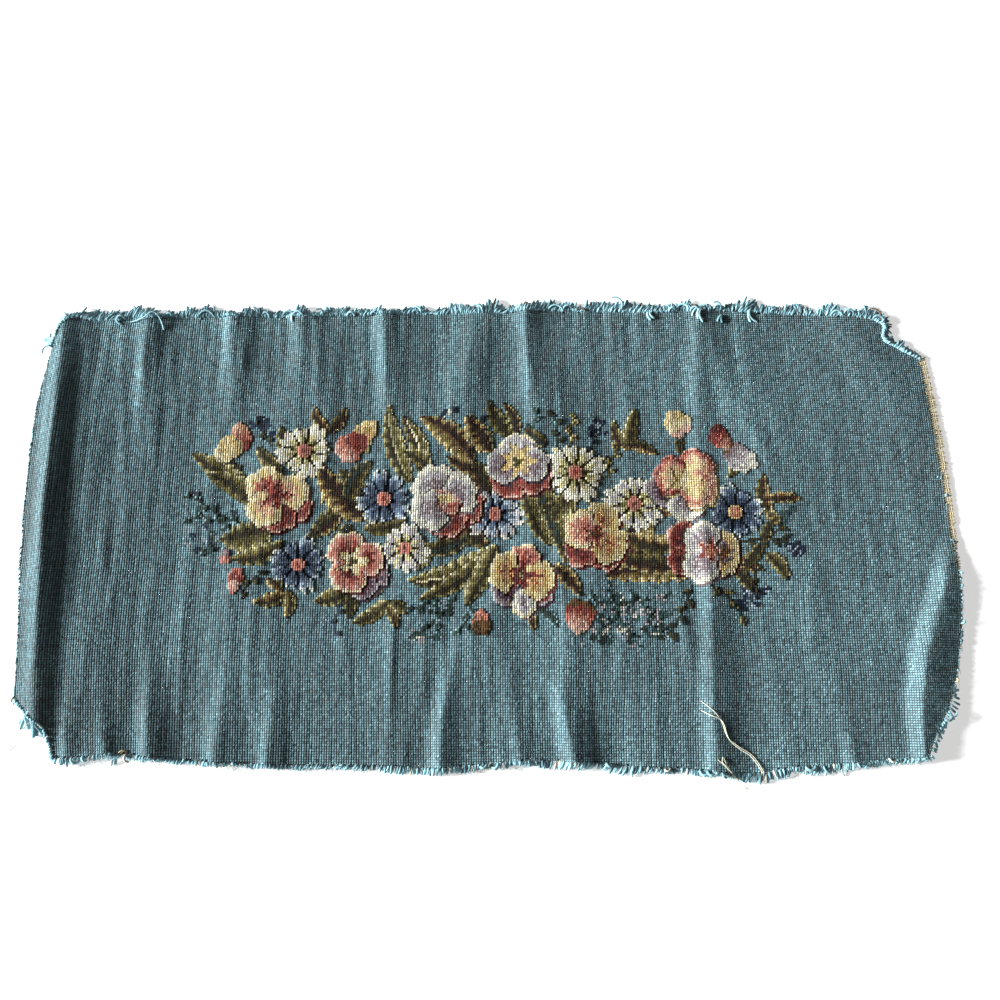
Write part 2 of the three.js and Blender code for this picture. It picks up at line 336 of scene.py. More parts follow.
@dataclass
class LyingCloth:
    """The shape in which the cloth lies: its cut outline, its creases and its slight unevenness."""

    # The distance between the outline's points, and how far from it a place is near it
    edge_step: float = 3.0
    edge_reach: float = 6.0
    # The height grid's steps, and its reach from the middle
    grid_x: float = 0.8
    grid_y: float = 1.6
    half_width: float = 376
    half_height: float = 206
    # How rounded the crests are, and how softly a crease's height changes along it
    crest_softness: float = 1.3
    run_softness: float = 5.0
    # How far up and down the ripples lie, and how unlike each other they lean
    ripple_reach: float = 185
    ripple_lean: float = 0.1
    ripple_seed: int = 5
    runs: dict[Side, Array] = field(init=False)
    outline: Array = field(init=False)
    shift: Array = field(init=False)
    heights: Array = field(init=False)

    def __post_init__(self) -> None:
        """Works out the runs, the outline and the height grid."""
        self.runs = {side: cut_edge(side, self.edge_step)[0] for side in Side}
        self.outline = np.vstack([run[:-1] for run in self.runs.values()])
        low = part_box(PANEL_NODE)[0]
        self.shift = np.array([low.x / MM, low.y / MM]) - self.outline.min(axis=0)
        xs = np.arange(-self.half_width, self.half_width + self.grid_x, self.grid_x)
        ys = np.arange(-self.half_height, self.half_height + self.grid_y, self.grid_y)
        x, y = np.meshgrid(xs, ys)
        heights = sum(crease.lift(x, y) for crease in CREASES) + self._ripples(x, y)
        heights = blurred(heights, self.crest_softness / self.grid_x, 1)
        self.heights = blurred(heights, self.run_softness / self.grid_y, 0)

    def _ripples(self, x: Array, y: Array) -> Array:
        """The slight ripples of a cloth that has been stored, most of them upright.

        Args:
            x, y: The places across the table and up it.

        Returns:
            The ripples' height at each place.
        """
        random = default_rng(self.ripple_seed)
        total = np.zeros_like(x)
        for row in RIPPLES:
            for _ in range(row.count):
                at_x = random.uniform(*row.where)
                at_y = random.uniform(-self.ripple_reach, self.ripple_reach)
                lean = random.normal(row.lean, self.ripple_lean)
                across = random.uniform(*row.across)
                along = random.uniform(*row.along)
                off = x - at_x + (y - at_y) * lean
                shape = np.exp(-0.5 * ((off / across) ** 2 + ((y - at_y) / along) ** 2))
                total += random.uniform(0.4, 1) * row.rise * shape
        return total

    def lift(self, x: Array, y: Array) -> Array:
        """How far the cloth's underside stands over the surface.

        Args:
            x, y: The places across the table and up it.

        Returns:
            The lift at each place, straight between the grid's points.
        """
        grid = self.heights
        u = np.clip((x + self.half_width) / self.grid_x, 0, grid.shape[1] - 1.001)
        v = np.clip((y + self.half_height) / self.grid_y, 0, grid.shape[0] - 1.001)
        i, j = u.astype(int), v.astype(int)
        fu, fv = u - i, v - j
        low = grid[j, i] * (1 - fu) + grid[j, i + 1] * fu
        high = grid[j + 1, i] * (1 - fu) + grid[j + 1, i + 1] * fu
        return low * (1 - fv) + high * fv

    def facing(self, x: Array, y: Array) -> Array:
        """The way that the cloth's upper face looks.

        Args:
            x, y: The places across the table and up it.

        Returns:
            A unit direction for each place.
        """
        slope_x = (self.lift(x + 1, y) - self.lift(x - 1, y)) / 2
        slope_y = (self.lift(x, y + 1) - self.lift(x, y - 1)) / 2
        normal = np.stack([-slope_x, -slope_y, np.ones_like(slope_x)], axis=-1)
        return normal / np.linalg.norm(normal, axis=-1, keepdims=True)

    def inside(self, x: Array, y: Array) -> Array:
        """Which places lie within the cut outline.

        Args:
            x, y: The places across the table and up it.

        Returns:
            Whether each place does.
        """
        result = np.zeros(x.shape, bool)
        for (x0, y0), (x1, y1) in zip(self.outline, np.roll(self.outline, -1, axis=0)):
            if y0 != y1:
                crosses = (y0 > y) != (y1 > y)
                result ^= crosses & (x < (x1 - x0) * (y - y0) / (y1 - y0) + x0)
        return result

    def edge_distance(self, x: Array, y: Array) -> Array:
        """How far places lie from the cut edge.

        Args:
            x, y: The places across the table and up it.

        Returns:
            Each place's distance, or edge_reach where it is farther.
        """
        distance = np.full(x.shape, self.edge_reach)
        for px, py in self.outline:
            near = (np.abs(x - px) < self.edge_reach) & (np.abs(y - py) < self.edge_reach)
            distance[near] = np.minimum(distance[near], np.hypot(x[near] - px, y[near] - py))
        return distance

    def place(self, points: Array) -> Array:
        """Points of the table, in millimetres, as points of the row's frame, in metres."""
        return (points + np.array([*self.shift, 0])) * MM

    def sizes(self) -> tuple[Array, float]:
        """The outline's extent along each axis, and its area."""
        ahead = np.roll(self.outline, -1, axis=0)
        area = np.sum(self.outline[:, 0] * ahead[:, 1] - ahead[:, 0] * self.outline[:, 1])
        return self.outline.max(axis=0) - self.outline.min(axis=0), float(abs(area)) / 2


def dome(out: Array) -> Array:
    """A rounded height of 1 in the middle and 0 at the rim, for places from 0 to 1 on the way out."""
    return np.sqrt(np.clip(1 - out**2, 0, 1))


def turned(dx: Array, dy: Array, degrees: float) -> tuple[Array, Array]:
    """How far places lie along a direction, and how far to its left."""
    cosine, sine = math.cos(math.radians(degrees)), math.sin(math.radians(degrees))
    return dx * cosine + dy * sine, -dx * sine + dy * cosine


@dataclass
class Chart:
    """The charted design, one shade for each stitch, drawn from the back of the spray to its front."""

    # The stitches across and up
    columns: int = 404
    rows: int = 206
    # How much the ground changes by stitch, down a length of wool and over a patch
    grain: float = 1.6
    drift: float = 0.3
    patch: float = 0.35
    # Where the ground passes into its paler and its greyer shade
    threshold: float = 0.75
    seed: int = 11
    x: Array = field(init=False)
    y: Array = field(init=False)
    shades: Array = field(init=False)
    relief: Array = field(init=False)
    random: Generator = field(init=False)

    def __post_init__(self) -> None:
        """Fills the chart with the ground."""
        across = np.arange(self.columns) - (self.columns - 1) / 2
        up = np.arange(self.rows) - (self.rows - 1) / 2
        self.x, self.y = np.meshgrid(across, up)
        self.random = default_rng(self.seed)
        self.relief = np.zeros(self.x.shape)
        self.shades = self._ground()

    def _ground(self) -> Array:
        """The ground's shades, which drift a little from one length of wool to the next.

        Returns:
            A shade for each stitch, as linear light.
        """
        grain = self.random.random(self.x.shape) - 0.5
        drift = evened(blurred(blurred(self.random.random(self.x.shape), 0.7, 1), 9, 0))
        patch = evened(blurred(blurred(self.random.random(self.x.shape), 14, 1), 14, 0))
        tone = (drift * self.drift + patch * self.patch + grain * self.grain)[..., None]
        shade = np.where(tone > self.threshold, Yarn.GROUND_PALE.light, Yarn.GROUND.light)
        shade = np.where(tone < -self.threshold, Yarn.GROUND_GREY.light, shade)
        return shade * (1 + 0.05 * drift + 0.03 * patch)[..., None]

    def paint(self, mask: Array, tone: Array, shades: Run, relief: Array | float = 0.15) -> None:
        """Works part of the chart in a run of shades, mixed where one passes into the next.

        Args:
            mask: The stitches to work.
            tone: Where each stitch stands in the run, from 0 to 1.
            shades: The run, from its first shade to its last.
            relief: How far the wool stands up from the ground, in millimetres.
        """
        mix = self.random.random(self.x.shape) - 0.5
        place = np.clip(np.floor(tone * len(shades) + mix), 0, len(shades) - 1).astype(int)
        self.shades[mask] = np.array([shade.light for shade in shades])[place[mask]]
        self.relief[mask] = np.broadcast_to(relief, mask.shape)[mask]


@dataclass(frozen=True)
class Petal:
    """A rounded petal with a ruffled rim. Its sizes are shares of the flower's radius."""

    # The way it points, in degrees anticlockwise from the right, and its middle's distance
    turn: float
    reach: float
    # Its half-length and its half-width
    length: float
    width: float
    # From the heart out to the rim
    shades: Run

    def draw(self, chart: Chart, flower: "Pansy") -> None:
        """Works the petal, and the shade that it throws on what lies behind it.

        Args:
            chart: The chart to work on.
            flower: The pansy that it belongs to.
        """
        dx, dy = chart.x - flower.x, chart.y - flower.y
        rim = self._rim(dx, dy, flower.radius)
        shaded = self._rim(dx - SHADOW_STEP, dy + SHADOW_STEP, flower.radius) < 1
        chart.paint(shaded, rim, (Yarn.UMBER, self.shades[0]), PETAL_RELIEF * 0.2)
        away = np.hypot(dx, dy) / ((self.reach + self.length) * flower.radius)
        ray = np.arctan2(dy, dx)
        streak = 0.13 * np.sin(ray * 19 + self.turn) + 0.1 * np.sin(ray * 43 + 2 * self.turn)
        tone = 0.42 * away + 0.58 * rim**2.2 + streak * (1.1 - np.clip(rim, 0, 1))
        chart.paint(rim < 1, tone, self.shades, PETAL_RELIEF * (0.45 + 0.55 * dome(rim)))

    def _rim(self, dx: Array, dy: Array, radius: float) -> Array:
        """How far out in the petal places lie.

        Args:
            dx, dy: How far to the right of the heart and above it they lie.
            radius: The flower's radius.

        Returns:
            For each place, from 0 in the petal's middle to 1 at its ruffled rim.
        """
        along, across = turned(dx, dy, self.turn)
        u = (along - self.reach * radius) / (self.length * radius)
        v = across / (self.width * radius)
        angle = np.arctan2(v, u)
        ruffle = 1 + 0.055 * np.sin(5 * angle + self.turn) + 0.035 * np.sin(9 * angle + 2 * self.turn)
        return np.hypot(u, v) / ruffle


@dataclass(frozen=True)
class Heart:
    """The eye of a pansy: a small star of rays in a run of shades, from its middle out."""

    # Its reach, as a share of the flower's radius
    radius: float
    rays: int
    shades: Run

    def draw(self, chart: Chart, flower: "Pansy") -> None:
        """Works the eye.

        Args:
            chart: The chart to work on.
            flower: The pansy that it belongs to.
        """
        dx, dy = chart.x - flower.x, chart.y - flower.y
        reach = self.radius * flower.radius * (1 + 0.32 * np.cos(np.arctan2(dy, dx) * self.rays))
        away = np.hypot(dx, dy) / reach
        ragged = chart.random.random(chart.x.shape) * 0.35
        chart.paint(away + ragged < 1.12, away, self.shades, PETAL_RELIEF * 0.6)


@dataclass(frozen=True)
class Pansy:
    """A pansy, with its heart's place and its radius in stitches from the chart's middle."""

    x: float
    y: float
    radius: float
    # From the back one to the front one, and from the outer star to the inner
    petals: tuple[Petal, ...]
    hearts: tuple[Heart, ...]

    def draw(self, chart: Chart) -> None:
        """Works the flower."""
        for part in (*self.petals, *self.hearts):
            part.draw(chart, self)


@dataclass(frozen=True)
class Daisy:
    """A daisy of narrow petals round a button, with its place and its radius in stitches."""

    x: float
    y: float
    radius: float
    # How many petals, the first one's direction in degrees, and how wide each is for its share
    count: int
    turn: float
    fullness: float
    # From the button out, and how much darker a petal's middle is than its sides
    shades: Run
    streak: float = 0.2
    button: Run = yarns("RED CORAL CORAL")
    # The shades between the petals: darker wool, partly the flower's own and partly painted shade that falls
    # between them
    backing_and_shade: Run = yarns("OLIVE MOSS OLIVE SAGE")

    def draw(self, chart: Chart) -> None:
        """Works the flower.

        Args:
            chart: The chart to work on.
        """
        dx, dy = chart.x - self.x, chart.y - self.y
        away = np.hypot(dx, dy) / self.radius
        share = (np.arctan2(dy, dx) - math.radians(self.turn)) * self.count / (2 * math.pi)
        number = np.round(share)
        off = np.abs(share - number) * 2
        uneven = 1 + 0.13 * np.sin(number * 2.4 + self.turn)
        width = self.fullness * np.sin(np.pi * np.clip(away / uneven, 0.02, 1) ** 2.1) ** 0.5
        ragged = away + 0.16 * chart.random.random(chart.x.shape)
        # Partly painted shade: a darker disc behind the petals that shows between them
        chart.paint(ragged < 0.92, away, self.backing_and_shade, 0.1)
        out = off / np.maximum(width, 0.1)
        across = np.clip(out, 0, 1)
        notch = 1 - 0.18 * (1 - across) ** 2
        petal = (off < width) & (away < uneven * notch) & (away > 0.1)
        tone = 0.75 * away + self.streak * (across - 0.5) + 0.12
        chart.paint(petal, tone, self.shades, PETAL_RELIEF * (0.35 + 0.5 * dome(out)))
        chart.paint(away < 0.25, away * 4, self.button, PETAL_RELIEF)


@dataclass(frozen=True)
class Leaf:
    """A toothed leaf along a bowed spine, in stitches from the chart's middle."""

    base: Pair
    tip: Pair
    # Its width at the widest, and its spine's bow to the left, as a share of its length
    width: float
    bow: float
    # The shades of its left half and of its right half, from the vein out
    left: Run
    right: Run
    # How many teeth each side has
    teeth: int = 5
    vein: Yarn | None = None

    @classmethod
    def from_row(cls, row: list[str]) -> "Leaf":
        """A leaf from its row of the table.

        Args:
            row: The row's words.

        Returns:
            The leaf.
        """
        x0, y0, x1, y1, width, bow = map(float, row[:6])
        vein = Yarn[row[9]] if len(row) > 9 else None
        return cls((x0, y0), (x1, y1), width, bow, FOLIAGE[row[6]], FOLIAGE[row[7]], int(row[8]), vein)

    def draw(self, chart: Chart) -> None:
        """Works the leaf.

        Args:
            chart: The chart to work on.
        """
        share, off = self.spine_distance(chart)
        swell = np.sin(np.pi * np.clip(share, 0.001, 0.999) ** 0.85) ** 0.75
        tooth = 1 + 0.15 * (1 - 2 * np.mod(share * self.teeth, 1))
        half = self.width / 2 * swell * tooth + 0.2
        inside = (np.abs(off) < half) & (share > 0) & (share < 1)
        out = np.abs(off) / np.maximum(half, 0.4)
        tone = 1.02 * out**1.2 + 0.2 * np.sin(share * self.teeth * 2 * math.pi - 3.0 * out)
        relief = LEAF_RELIEF * (0.4 + 0.6 * dome(out))
        chart.paint(inside & (off >= 0), tone, self.left, relief)
        chart.paint(inside & (off < 0), tone, self.right, relief)
        if self.vein is not None:
            vein = inside & (np.abs(off) < 0.55) & (share > 0.08) & (share < 0.9)
            chart.paint(vein, tone, (self.vein,), LEAF_RELIEF)

    def spine_distance(self, chart: Chart) -> tuple[Array, Array]:
        """Where stitches lie beside the spine.

        Args:
            chart: The chart that they are on.

        Returns:
            Each stitch's place along the spine, from 0 to 1, and how far to its left it lies.
        """
        base, tip = np.array(self.base, float), np.array(self.tip, float)
        length = np.linalg.norm(tip - base)
        ahead = (tip - base) / length
        aside = left_of(ahead)
        along = ((chart.x - base[0]) * ahead[0] + (chart.y - base[1]) * ahead[1]) / length
        off = (chart.x - base[0]) * aside[0] + (chart.y - base[1]) * aside[1]
        return along, off - 4 * along * (1 - along) * self.bow * length


@dataclass(frozen=True)
class Bud:
    """A bud: a rounded drop of petals, in stitches from the chart's middle."""

    at: Pair
    # The way it points, in degrees anticlockwise from the right, its half-length and its half-width
    turn: float
    length: float
    width: float
    # From its cup to its tip
    shades: Run

    def draw(self, chart: Chart) -> None:
        """Works the bud.

        Args:
            chart: The chart to work on.
        """
        along, across = turned(chart.x - self.at[0], chart.y - self.at[1], self.turn)
        u, v = along / self.length, across / self.width
        angle = np.arctan2(v, u)
        ruffle = 1 + 0.07 * np.sin(3 * angle + self.turn) + 0.05 * np.sin(7 * angle + self.turn)
        rim = np.hypot(u, v) / ruffle
        chart.paint(rim < 1, 0.5 + 0.42 * u + 0.12 * rim, self.shades, PETAL_RELIEF * (0.4 + 0.6 * dome(rim)))


@dataclass(frozen=True)
class Sprig:
    """A thin stem with small leaves to either side, and blossoms at its end."""

    base: Pair
    tip: Pair
    # How far it bows to the left, as a share of its length
    bow: float
    # Its small leaves: how many, how long, and their shades
    leaves: int
    reach: float
    shades: Run
    stem: Yarn = Yarn.BOTTLE
    # The shades of the dots round its end, or none
    blossom: Run = ()
    # How wide its small leaves are in stitches, and how far they turn from it in degrees
    leaf_width: float = 2.0
    leaf_turn: float = 48

    def draw(self, chart: Chart) -> None:
        """Works the sprig.

        Args:
            chart: The chart to work on.
        """
        base, tip = np.array(self.base, float), np.array(self.tip, float)
        way = tip - base
        stem = Leaf(self.base, self.tip, 0, self.bow, (self.stem,), (self.stem,))
        along, off = stem.spine_distance(chart)
        chart.paint((np.abs(off) < 0.62) & (along > 0) & (along < 1), along, (self.stem,))
        for number in range(self.leaves):
            share = (number + 0.6) / self.leaves
            root = base + way * share + left_of(way) * 4 * share * (1 - share) * self.bow
            angle = math.atan2(way[1], way[0]) + math.radians(self.leaf_turn) * (1 if number % 2 else -1)
            end = root + self.reach * np.array([math.cos(angle), math.sin(angle)])
            Leaf(tuple(root), tuple(end), self.leaf_width, 0.1, self.shades, self.shades, 1).draw(chart)
        if self.blossom:
            Posy(self.tip, 3.4, 7, self.blossom).draw(chart)


@dataclass(frozen=True)
class Posy:
    """A loose cluster of tiny blossoms round a place, in stitches from the chart's middle."""

    at: Pair
    spread: float
    count: int
    shades: Run

    def draw(self, chart: Chart) -> None:
        """Works the cluster.

        Args:
            chart: The chart to work on.
        """
        for number in range(self.count):
            away = chart.random.normal(0, self.spread / 2, 2)
            size = chart.random.uniform(0.8, 1.75)
            dots = np.hypot(chart.x - self.at[0] - away[0], chart.y - self.at[1] - away[1]) < size
            chart.paint(dots, np.full(chart.x.shape, number / self.count), self.shades)


# Runs of shades
CREAM_RED = yarns("RED RED CORAL STRAW STRAW CREAM CREAM")
CREAM_GOLD = yarns("CORAL PEACH STRAW STRAW CREAM CREAM")
RED_PINK = yarns("MAROON MAROON MAROON RED RED CORAL PINK")
ROSE = yarns("MAROON RED CORAL CORAL PINK CREAM")
WHITE_LILAC = yarns("MAUVE MAUVE LILAC LILAC WHITE WHITE WHITE")
MAUVE_RIM = yarns("PLUM MAUVE MAUVE LILAC LILAC WHITE")
PLUM_MAUVE = yarns("PLUM PLUM PLUM MAUVE MAUVE LILAC")
YELLOW_ORANGE = yarns("RED AMBER GOLD STRAW STRAW CREAM")
CORAL_RIM = yarns("MAROON RED CORAL CORAL PEACH CREAM")
SUNSET = yarns("STRAW STRAW PEACH PEACH CORAL RED PINK")
SUNSET_PALE = yarns("STRAW STRAW PEACH CORAL PEACH CREAM")
FAWN = yarns("MAROON BRONZE MAUVE GOLD STRAW STRAW CREAM")
DAISY_WHITE = yarns("OLIVE MOSS SAGE LICHEN WHITE WHITE CREAM")
DAISY_PALE = yarns("OLIVE SAGE LICHEN LILAC WHITE WHITE")
DAISY_BLUE = yarns("NAVY NAVY SLATE SLATE BLUE PALE_BLUE WHITE")
DAISY_SKY = yarns("NAVY SLATE BLUE PALE_BLUE LILAC WHITE")
DAISY_NIGHT = yarns("NAVY NAVY NAVY SLATE BLUE PALE_BLUE WHITE")
NIGHT = yarns("NAVY SLATE SLATE")
GREENERY = yarns("BOTTLE BOTTLE TEAL_GREEN GROUND_PALE")
# The leaves' shades, from the vein out
FOLIAGE = {
    "DARK": yarns("DARK_OLIVE DARK_OLIVE DARK_OLIVE OLIVE MOSS SAGE"),
    "SHADE": yarns("DARK_OLIVE DARK_OLIVE OLIVE OLIVE MOSS"),
    "LIGHT": yarns("OLIVE OLIVE MOSS MOSS SAGE LICHEN"),
    "SAGE": yarns("OLIVE MOSS MOSS SAGE LICHEN"),
    "BOTTLE": yarns("BOTTLE BOTTLE DARK_OLIVE OLIVE SAGE"),
    "BROWN": yarns("DARK_BROWN DARK_BROWN UMBER BRONZE GOLDEN_BROWN SAGE"),
    "GOLD": yarns("DARK_BROWN BRONZE GOLDEN_BROWN GOLDEN_BROWN STRAW"),
    "STRAW": yarns("BRONZE MOSS GOLDEN_BROWN STRAW"),
    "GREENERY": GREENERY,
}
FERN = yarns("BOTTLE DARK_OLIVE OLIVE")
NAVY_BLOSSOM = yarns("NAVY SLATE NAVY NAVY PALE_BLUE")
WHITE_BLOSSOM = yarns("BOTTLE LILAC TEAL_GREEN PALE_BLUE BOTTLE LILAC TEAL_GREEN WHITE")

# The stems and sprigs that lie behind the rest, in stitches from the chart's middle
SPRIGS = tuple(Sprig(*row) for row in (
    ((-104, 2), (-128, 16), 0.05, 6, 4.0, GREENERY, Yarn.BOTTLE),
    ((-103, -2), (-128, 4), -0.1, 6, 4.0, GREENERY, Yarn.TEAL_GREEN),
    ((-104, -5), (-121, -9), 0.1, 4, 3.6, GREENERY, Yarn.BOTTLE),
    ((-93, 36), (-98, 48), 0.1, 4, 3.4, FERN, Yarn.BOTTLE, NAVY_BLOSSOM),
    ((-90, -18), (-102, -28), -0.12, 4, 3.4, FERN, Yarn.BOTTLE),
    ((-98, 20), (-110, 30), 0.1, 4, 3.2, FERN, Yarn.OLIVE),
    ((-12, 40), (-19, 52), 0.1, 3, 3.0, yarns("NAVY SLATE"), Yarn.SLATE),
    ((-2, 38), (-3, 49), -0.1, 3, 2.8, yarns("NAVY SLATE"), Yarn.SLATE),
    ((20, 36), (23, 52), 0.1, 4, 3.6, GREENERY, Yarn.TEAL_GREEN),
    ((30, 34), (29, 51), -0.08, 4, 4.0, FERN, Yarn.BOTTLE),
    ((37, 36), (39, 50), 0.1, 4, 3.6, yarns("OLIVE SAGE STRAW"), Yarn.OLIVE),
    ((46, 28), (48, 45), 0.1, 5, 3.6, yarns("NAVY TEAL_GREEN"), Yarn.SLATE, NAVY_BLOSSOM),
    ((52, 22), (60, 38), 0.1, 5, 4.2, yarns("DARK_OLIVE MOSS SAGE"), Yarn.OLIVE),
    ((-12, -28), (-28, -44), 0.06, 6, 4.0, GREENERY, Yarn.BOTTLE, WHITE_BLOSSOM),
    ((-16, -26), (-32, -34), 0.08, 5, 3.6, GREENERY, Yarn.TEAL_GREEN),
    ((-6, -28), (-12, -44), 0.1, 5, 3.4, GREENERY, Yarn.BOTTLE),
    ((-58, -27), (-62, -45), -0.1, 4, 3.0, yarns("SLATE BOTTLE"), Yarn.SLATE),
    ((44, -26), (48, -46), 0.08, 6, 4.2, GREENERY, Yarn.BOTTLE, WHITE_BLOSSOM),
    ((52, -26), (60, -46), -0.06, 6, 4.2, GREENERY, Yarn.TEAL_GREEN, WHITE_BLOSSOM),
    ((60, -26), (72, -44), 0.05, 6, 4.0, GREENERY, Yarn.BOTTLE, WHITE_BLOSSOM),
    ((87, -24), (76, -45), 0.03, 6, 4.6, FERN, Yarn.BOTTLE),
    ((94, -24), (108, -38), 0.08, 5, 4.4, yarns("DARK_OLIVE MOSS SAGE"), Yarn.BOTTLE),
    ((110, -8), (113, -28), 0.1, 4, 4.0, FERN, Yarn.OLIVE, NAVY_BLOSSOM),
    ((108, -6), (132, -8), 0.12, 5, 4.4, FERN, Yarn.DARK_OLIVE, NAVY_BLOSSOM),
    ((112, -8), (128, 6), -0.1, 4, 4.2, FERN, Yarn.DARK_OLIVE, yarns("SLATE TEAL_GREEN")),
))

# The clusters of tiny blossoms
POSIES = (
    Posy((-97, 46), 4.5, 10, yarns("NAVY NAVY SLATE")),
    Posy((-121, 9), 10, 9, yarns("TEAL_GREEN PALE_BLUE SLATE")),
    Posy((-117, -5), 9, 8, yarns("TEAL_GREEN SLATE PALE_BLUE")),
    Posy((-18, -38), 9, 10, yarns("BOTTLE PALE_BLUE TEAL_GREEN")),
    Posy((50, -36), 10, 24, WHITE_BLOSSOM),
    Posy((62, -38), 11, 24, WHITE_BLOSSOM),
    Posy((74, -34), 8, 14, yarns("BOTTLE LILAC TEAL_GREEN")),
    Posy((48, 44), 4, 8, NAVY_BLOSSOM),
    Posy((111, -29), 5.5, 20, NAVY_BLOSSOM),
    Posy((131, -8), 4, 12, NAVY_BLOSSOM),
    Posy((31, 8), 7, 14, yarns("BOTTLE SAGE DARK_OLIVE")),
    Posy((-14, 50), 5, 5, yarns("NAVY WHITE")),
)

# The leaves, from the back of the spray to its front: the base, the tip, the width, the bow, the left and
# the right half's shades, the teeth, and the vein's shade where it has one
LEAVES = tuple(Leaf.from_row(row.split()) for row in """
-98 10 -128 33 10 -0.04 DARK LIGHT 8
-96 6 -121 24 9 -0.12 SHADE LIGHT 6
-90 0 -113 -5 13 0.06 LIGHT DARK 6
-86 -6 -108 -13 8 0.1 DARK SAGE 5
-84 26 -90 45 8 0.0 DARK SHADE 5
-88 24 -100 36 6 0.05 LIGHT SHADE 4
-68 42 -76 54 5 0.1 BROWN GOLD 3
-69 42 -62 54 5 -0.1 SHADE BROWN 3
-52 4 -73 27 13 0.05 GOLD BROWN 7
-50 8 -64 26 8 -0.05 DARK SHADE 5
-60 12 -50 30 8 0.1 BOTTLE SHADE 5
-58 2 -66 -10 8 0.1 SHADE BOTTLE 4
-66 8 -76 -4 7 0.1 SHADE DARK 4
-52 33 -51 44 4 0.1 STRAW LIGHT 3
-33 20 -43 55 9 0.06 DARK SAGE 8 SAGE
-28 22 -37 50 8 -0.1 DARK LIGHT 7 CREAM
-24 26 -36 34 7 -0.1 SHADE SAGE 4
-6 29 -29 50 11 -0.07 STRAW BROWN 8
2 33 -9 50 10 0.02 GOLD BROWN 6
0 24 -18 32 7 0.05 BROWN GOLD 4
12 38 0 57 7 0.05 SHADE DARK 6
13 40 7 56 5 -0.1 DARK BROWN 5
2 12 -6 30 9 0.0 BROWN SHADE 4
0 -8 -10 6 9 0.1 SHADE BROWN 4
4 -8 -33 -22 11 0.12 SHADE SAGE 9 CREAM
4 -9 -28 -30 8 0.06 DARK LIGHT 7
4 -8 -9 -33 9 0.02 DARK SAGE 7
22 18 33 -12 12 0.05 SAGE BOTTLE 9
16 18 27 -8 8 -0.05 SAGE DARK 8
30 14 37 2 7 0.05 BOTTLE LIGHT 5
28 -16 40 -29 7 0.08 GOLD BROWN 5
30 -8 39 -17 6 0.05 BOTTLE LIGHT 4
50 0 80 6 7 0.08 GOLD BROWN 6
52 -8 78 -4 9 -0.05 STRAW BROWN 6
54 -14 76 -14 10 0.04 BROWN LIGHT 6
86 -20 50 -21 9 -0.06 STRAW BROWN 8
84 -17 52 -12 8 0.03 BROWN SHADE 7
62 34 55 48 5 0.12 BROWN LIGHT 4
62 34 65 53 6 0.05 LIGHT SHADE 5
60 36 74 32 5 0.12 SHADE GOLD 5
84 32 83 42 3.4 0.0 SHADE SHADE 2
104 22 104 38 5 -0.2 LIGHT SHADE 3
121 6 119 24 6 0.1 SHADE GOLD 5
119 8 125 2 4 0.0 LIGHT GOLD 3
120 13 134 13 5 0.04 GOLD BROWN 4
105 -13 115 -18 6 0.05 GOLD BROWN 4
104 -16 112 -27 5 0.05 SHADE DARK 4
116 -6 108 -16 5 0.1 SHADE DARK 4
118 -10 127 -22 6 0.1 LIGHT DARK 5
118 -6 122 4 4 0.1 SHADE DARK 4
-84 -28 -97 -31 6 0.08 DARK STRAW 4
-85 -27 -92 -21 5 -0.05 STRAW DARK 3
-83 -26 -83 -38 5 0.1 DARK STRAW 4
-58 -26 -72 -31 7 0.06 DARK LIGHT 5
-58 -24 -57 -38 6 0.08 DARK SHADE 4
-40 -30 -56 -40 6 0.06 SHADE LIGHT 5
-42 -32 -37 -42 5 0.1 STRAW DARK 3
-40 -31 -33 -36 5 0.1 SHADE LIGHT 3
-44 -28 -49 -22 5 0.1 DARK SHADE 3
-42 -2 -50 6 7 0.1 SHADE BOTTLE 4
-30 -6 -38 3 6 0.1 BOTTLE LIGHT 3
-24 -6 -30 -18 7 0.05 SAGE LIGHT 5
34 12 24 8 7 0.1 BOTTLE DARK 4
28 2 40 14 8 0.1 SHADE SAGE 5
58 -4 72 8 9 -0.1 BROWN STRAW 5
80 -8 58 -2 8 0.1 SHADE GOLD 5
52 14 54 2 7 0.0 BOTTLE SHADE 3
-34 4 -52 0 8 0.05 SHADE LIGHT 5
-72 -2 -62 6 8 0.05 SHADE BROWN 4
-8 -4 -26 -10 8 0.05 BOTTLE SHADE 4
26 36 16 44 6 0.05 BOTTLE SHADE 4
16 -34 20 -43 4 0.1 STRAW BROWN 3
22 -34 30 -42 4 0.1 GREENERY GREENERY 3
""".split("\n")[1:-1])

# The buds
BUDS = (
    Bud((-107, 40), 95, 6.6, 4.6, yarns("MAROON RED CORAL PEACH")),
    Bud((-112, 35), 235, 6.6, 5.2, yarns("GOLD STRAW STRAW CREAM")),
    Bud((-53, 42), 60, 7.2, 4.4, yarns("CORAL PEACH GOLD STRAW")),
    Bud((-59, 36), 225, 7.4, 6.2, yarns("RED RED CORAL PINK")),
    Bud((-105, -22), 80, 5.6, 3.3, yarns("CORAL PINK RED CORAL")),
    Bud((-110, -12), 90, 3.4, 2.6, yarns("CORAL MAUVE")),
    Bud((83, 46), 120, 6.2, 5.8, yarns("LILAC PINK CREAM STRAW STRAW")),
    Bud((109, 31), 320, 8.0, 5.8, yarns("BRONZE MAUVE LILAC WHITE")),
    Bud((101, 40), 110, 6.0, 4.4, yarns("PEACH CORAL RED MAROON")),
    Bud((39, -37), 80, 7.0, 6.2, yarns("CREAM PINK CORAL RED BRONZE")),
    Bud((-2, -40), 90, 5.6, 4.0, yarns("DARK_BROWN BRONZE CORAL")),
)

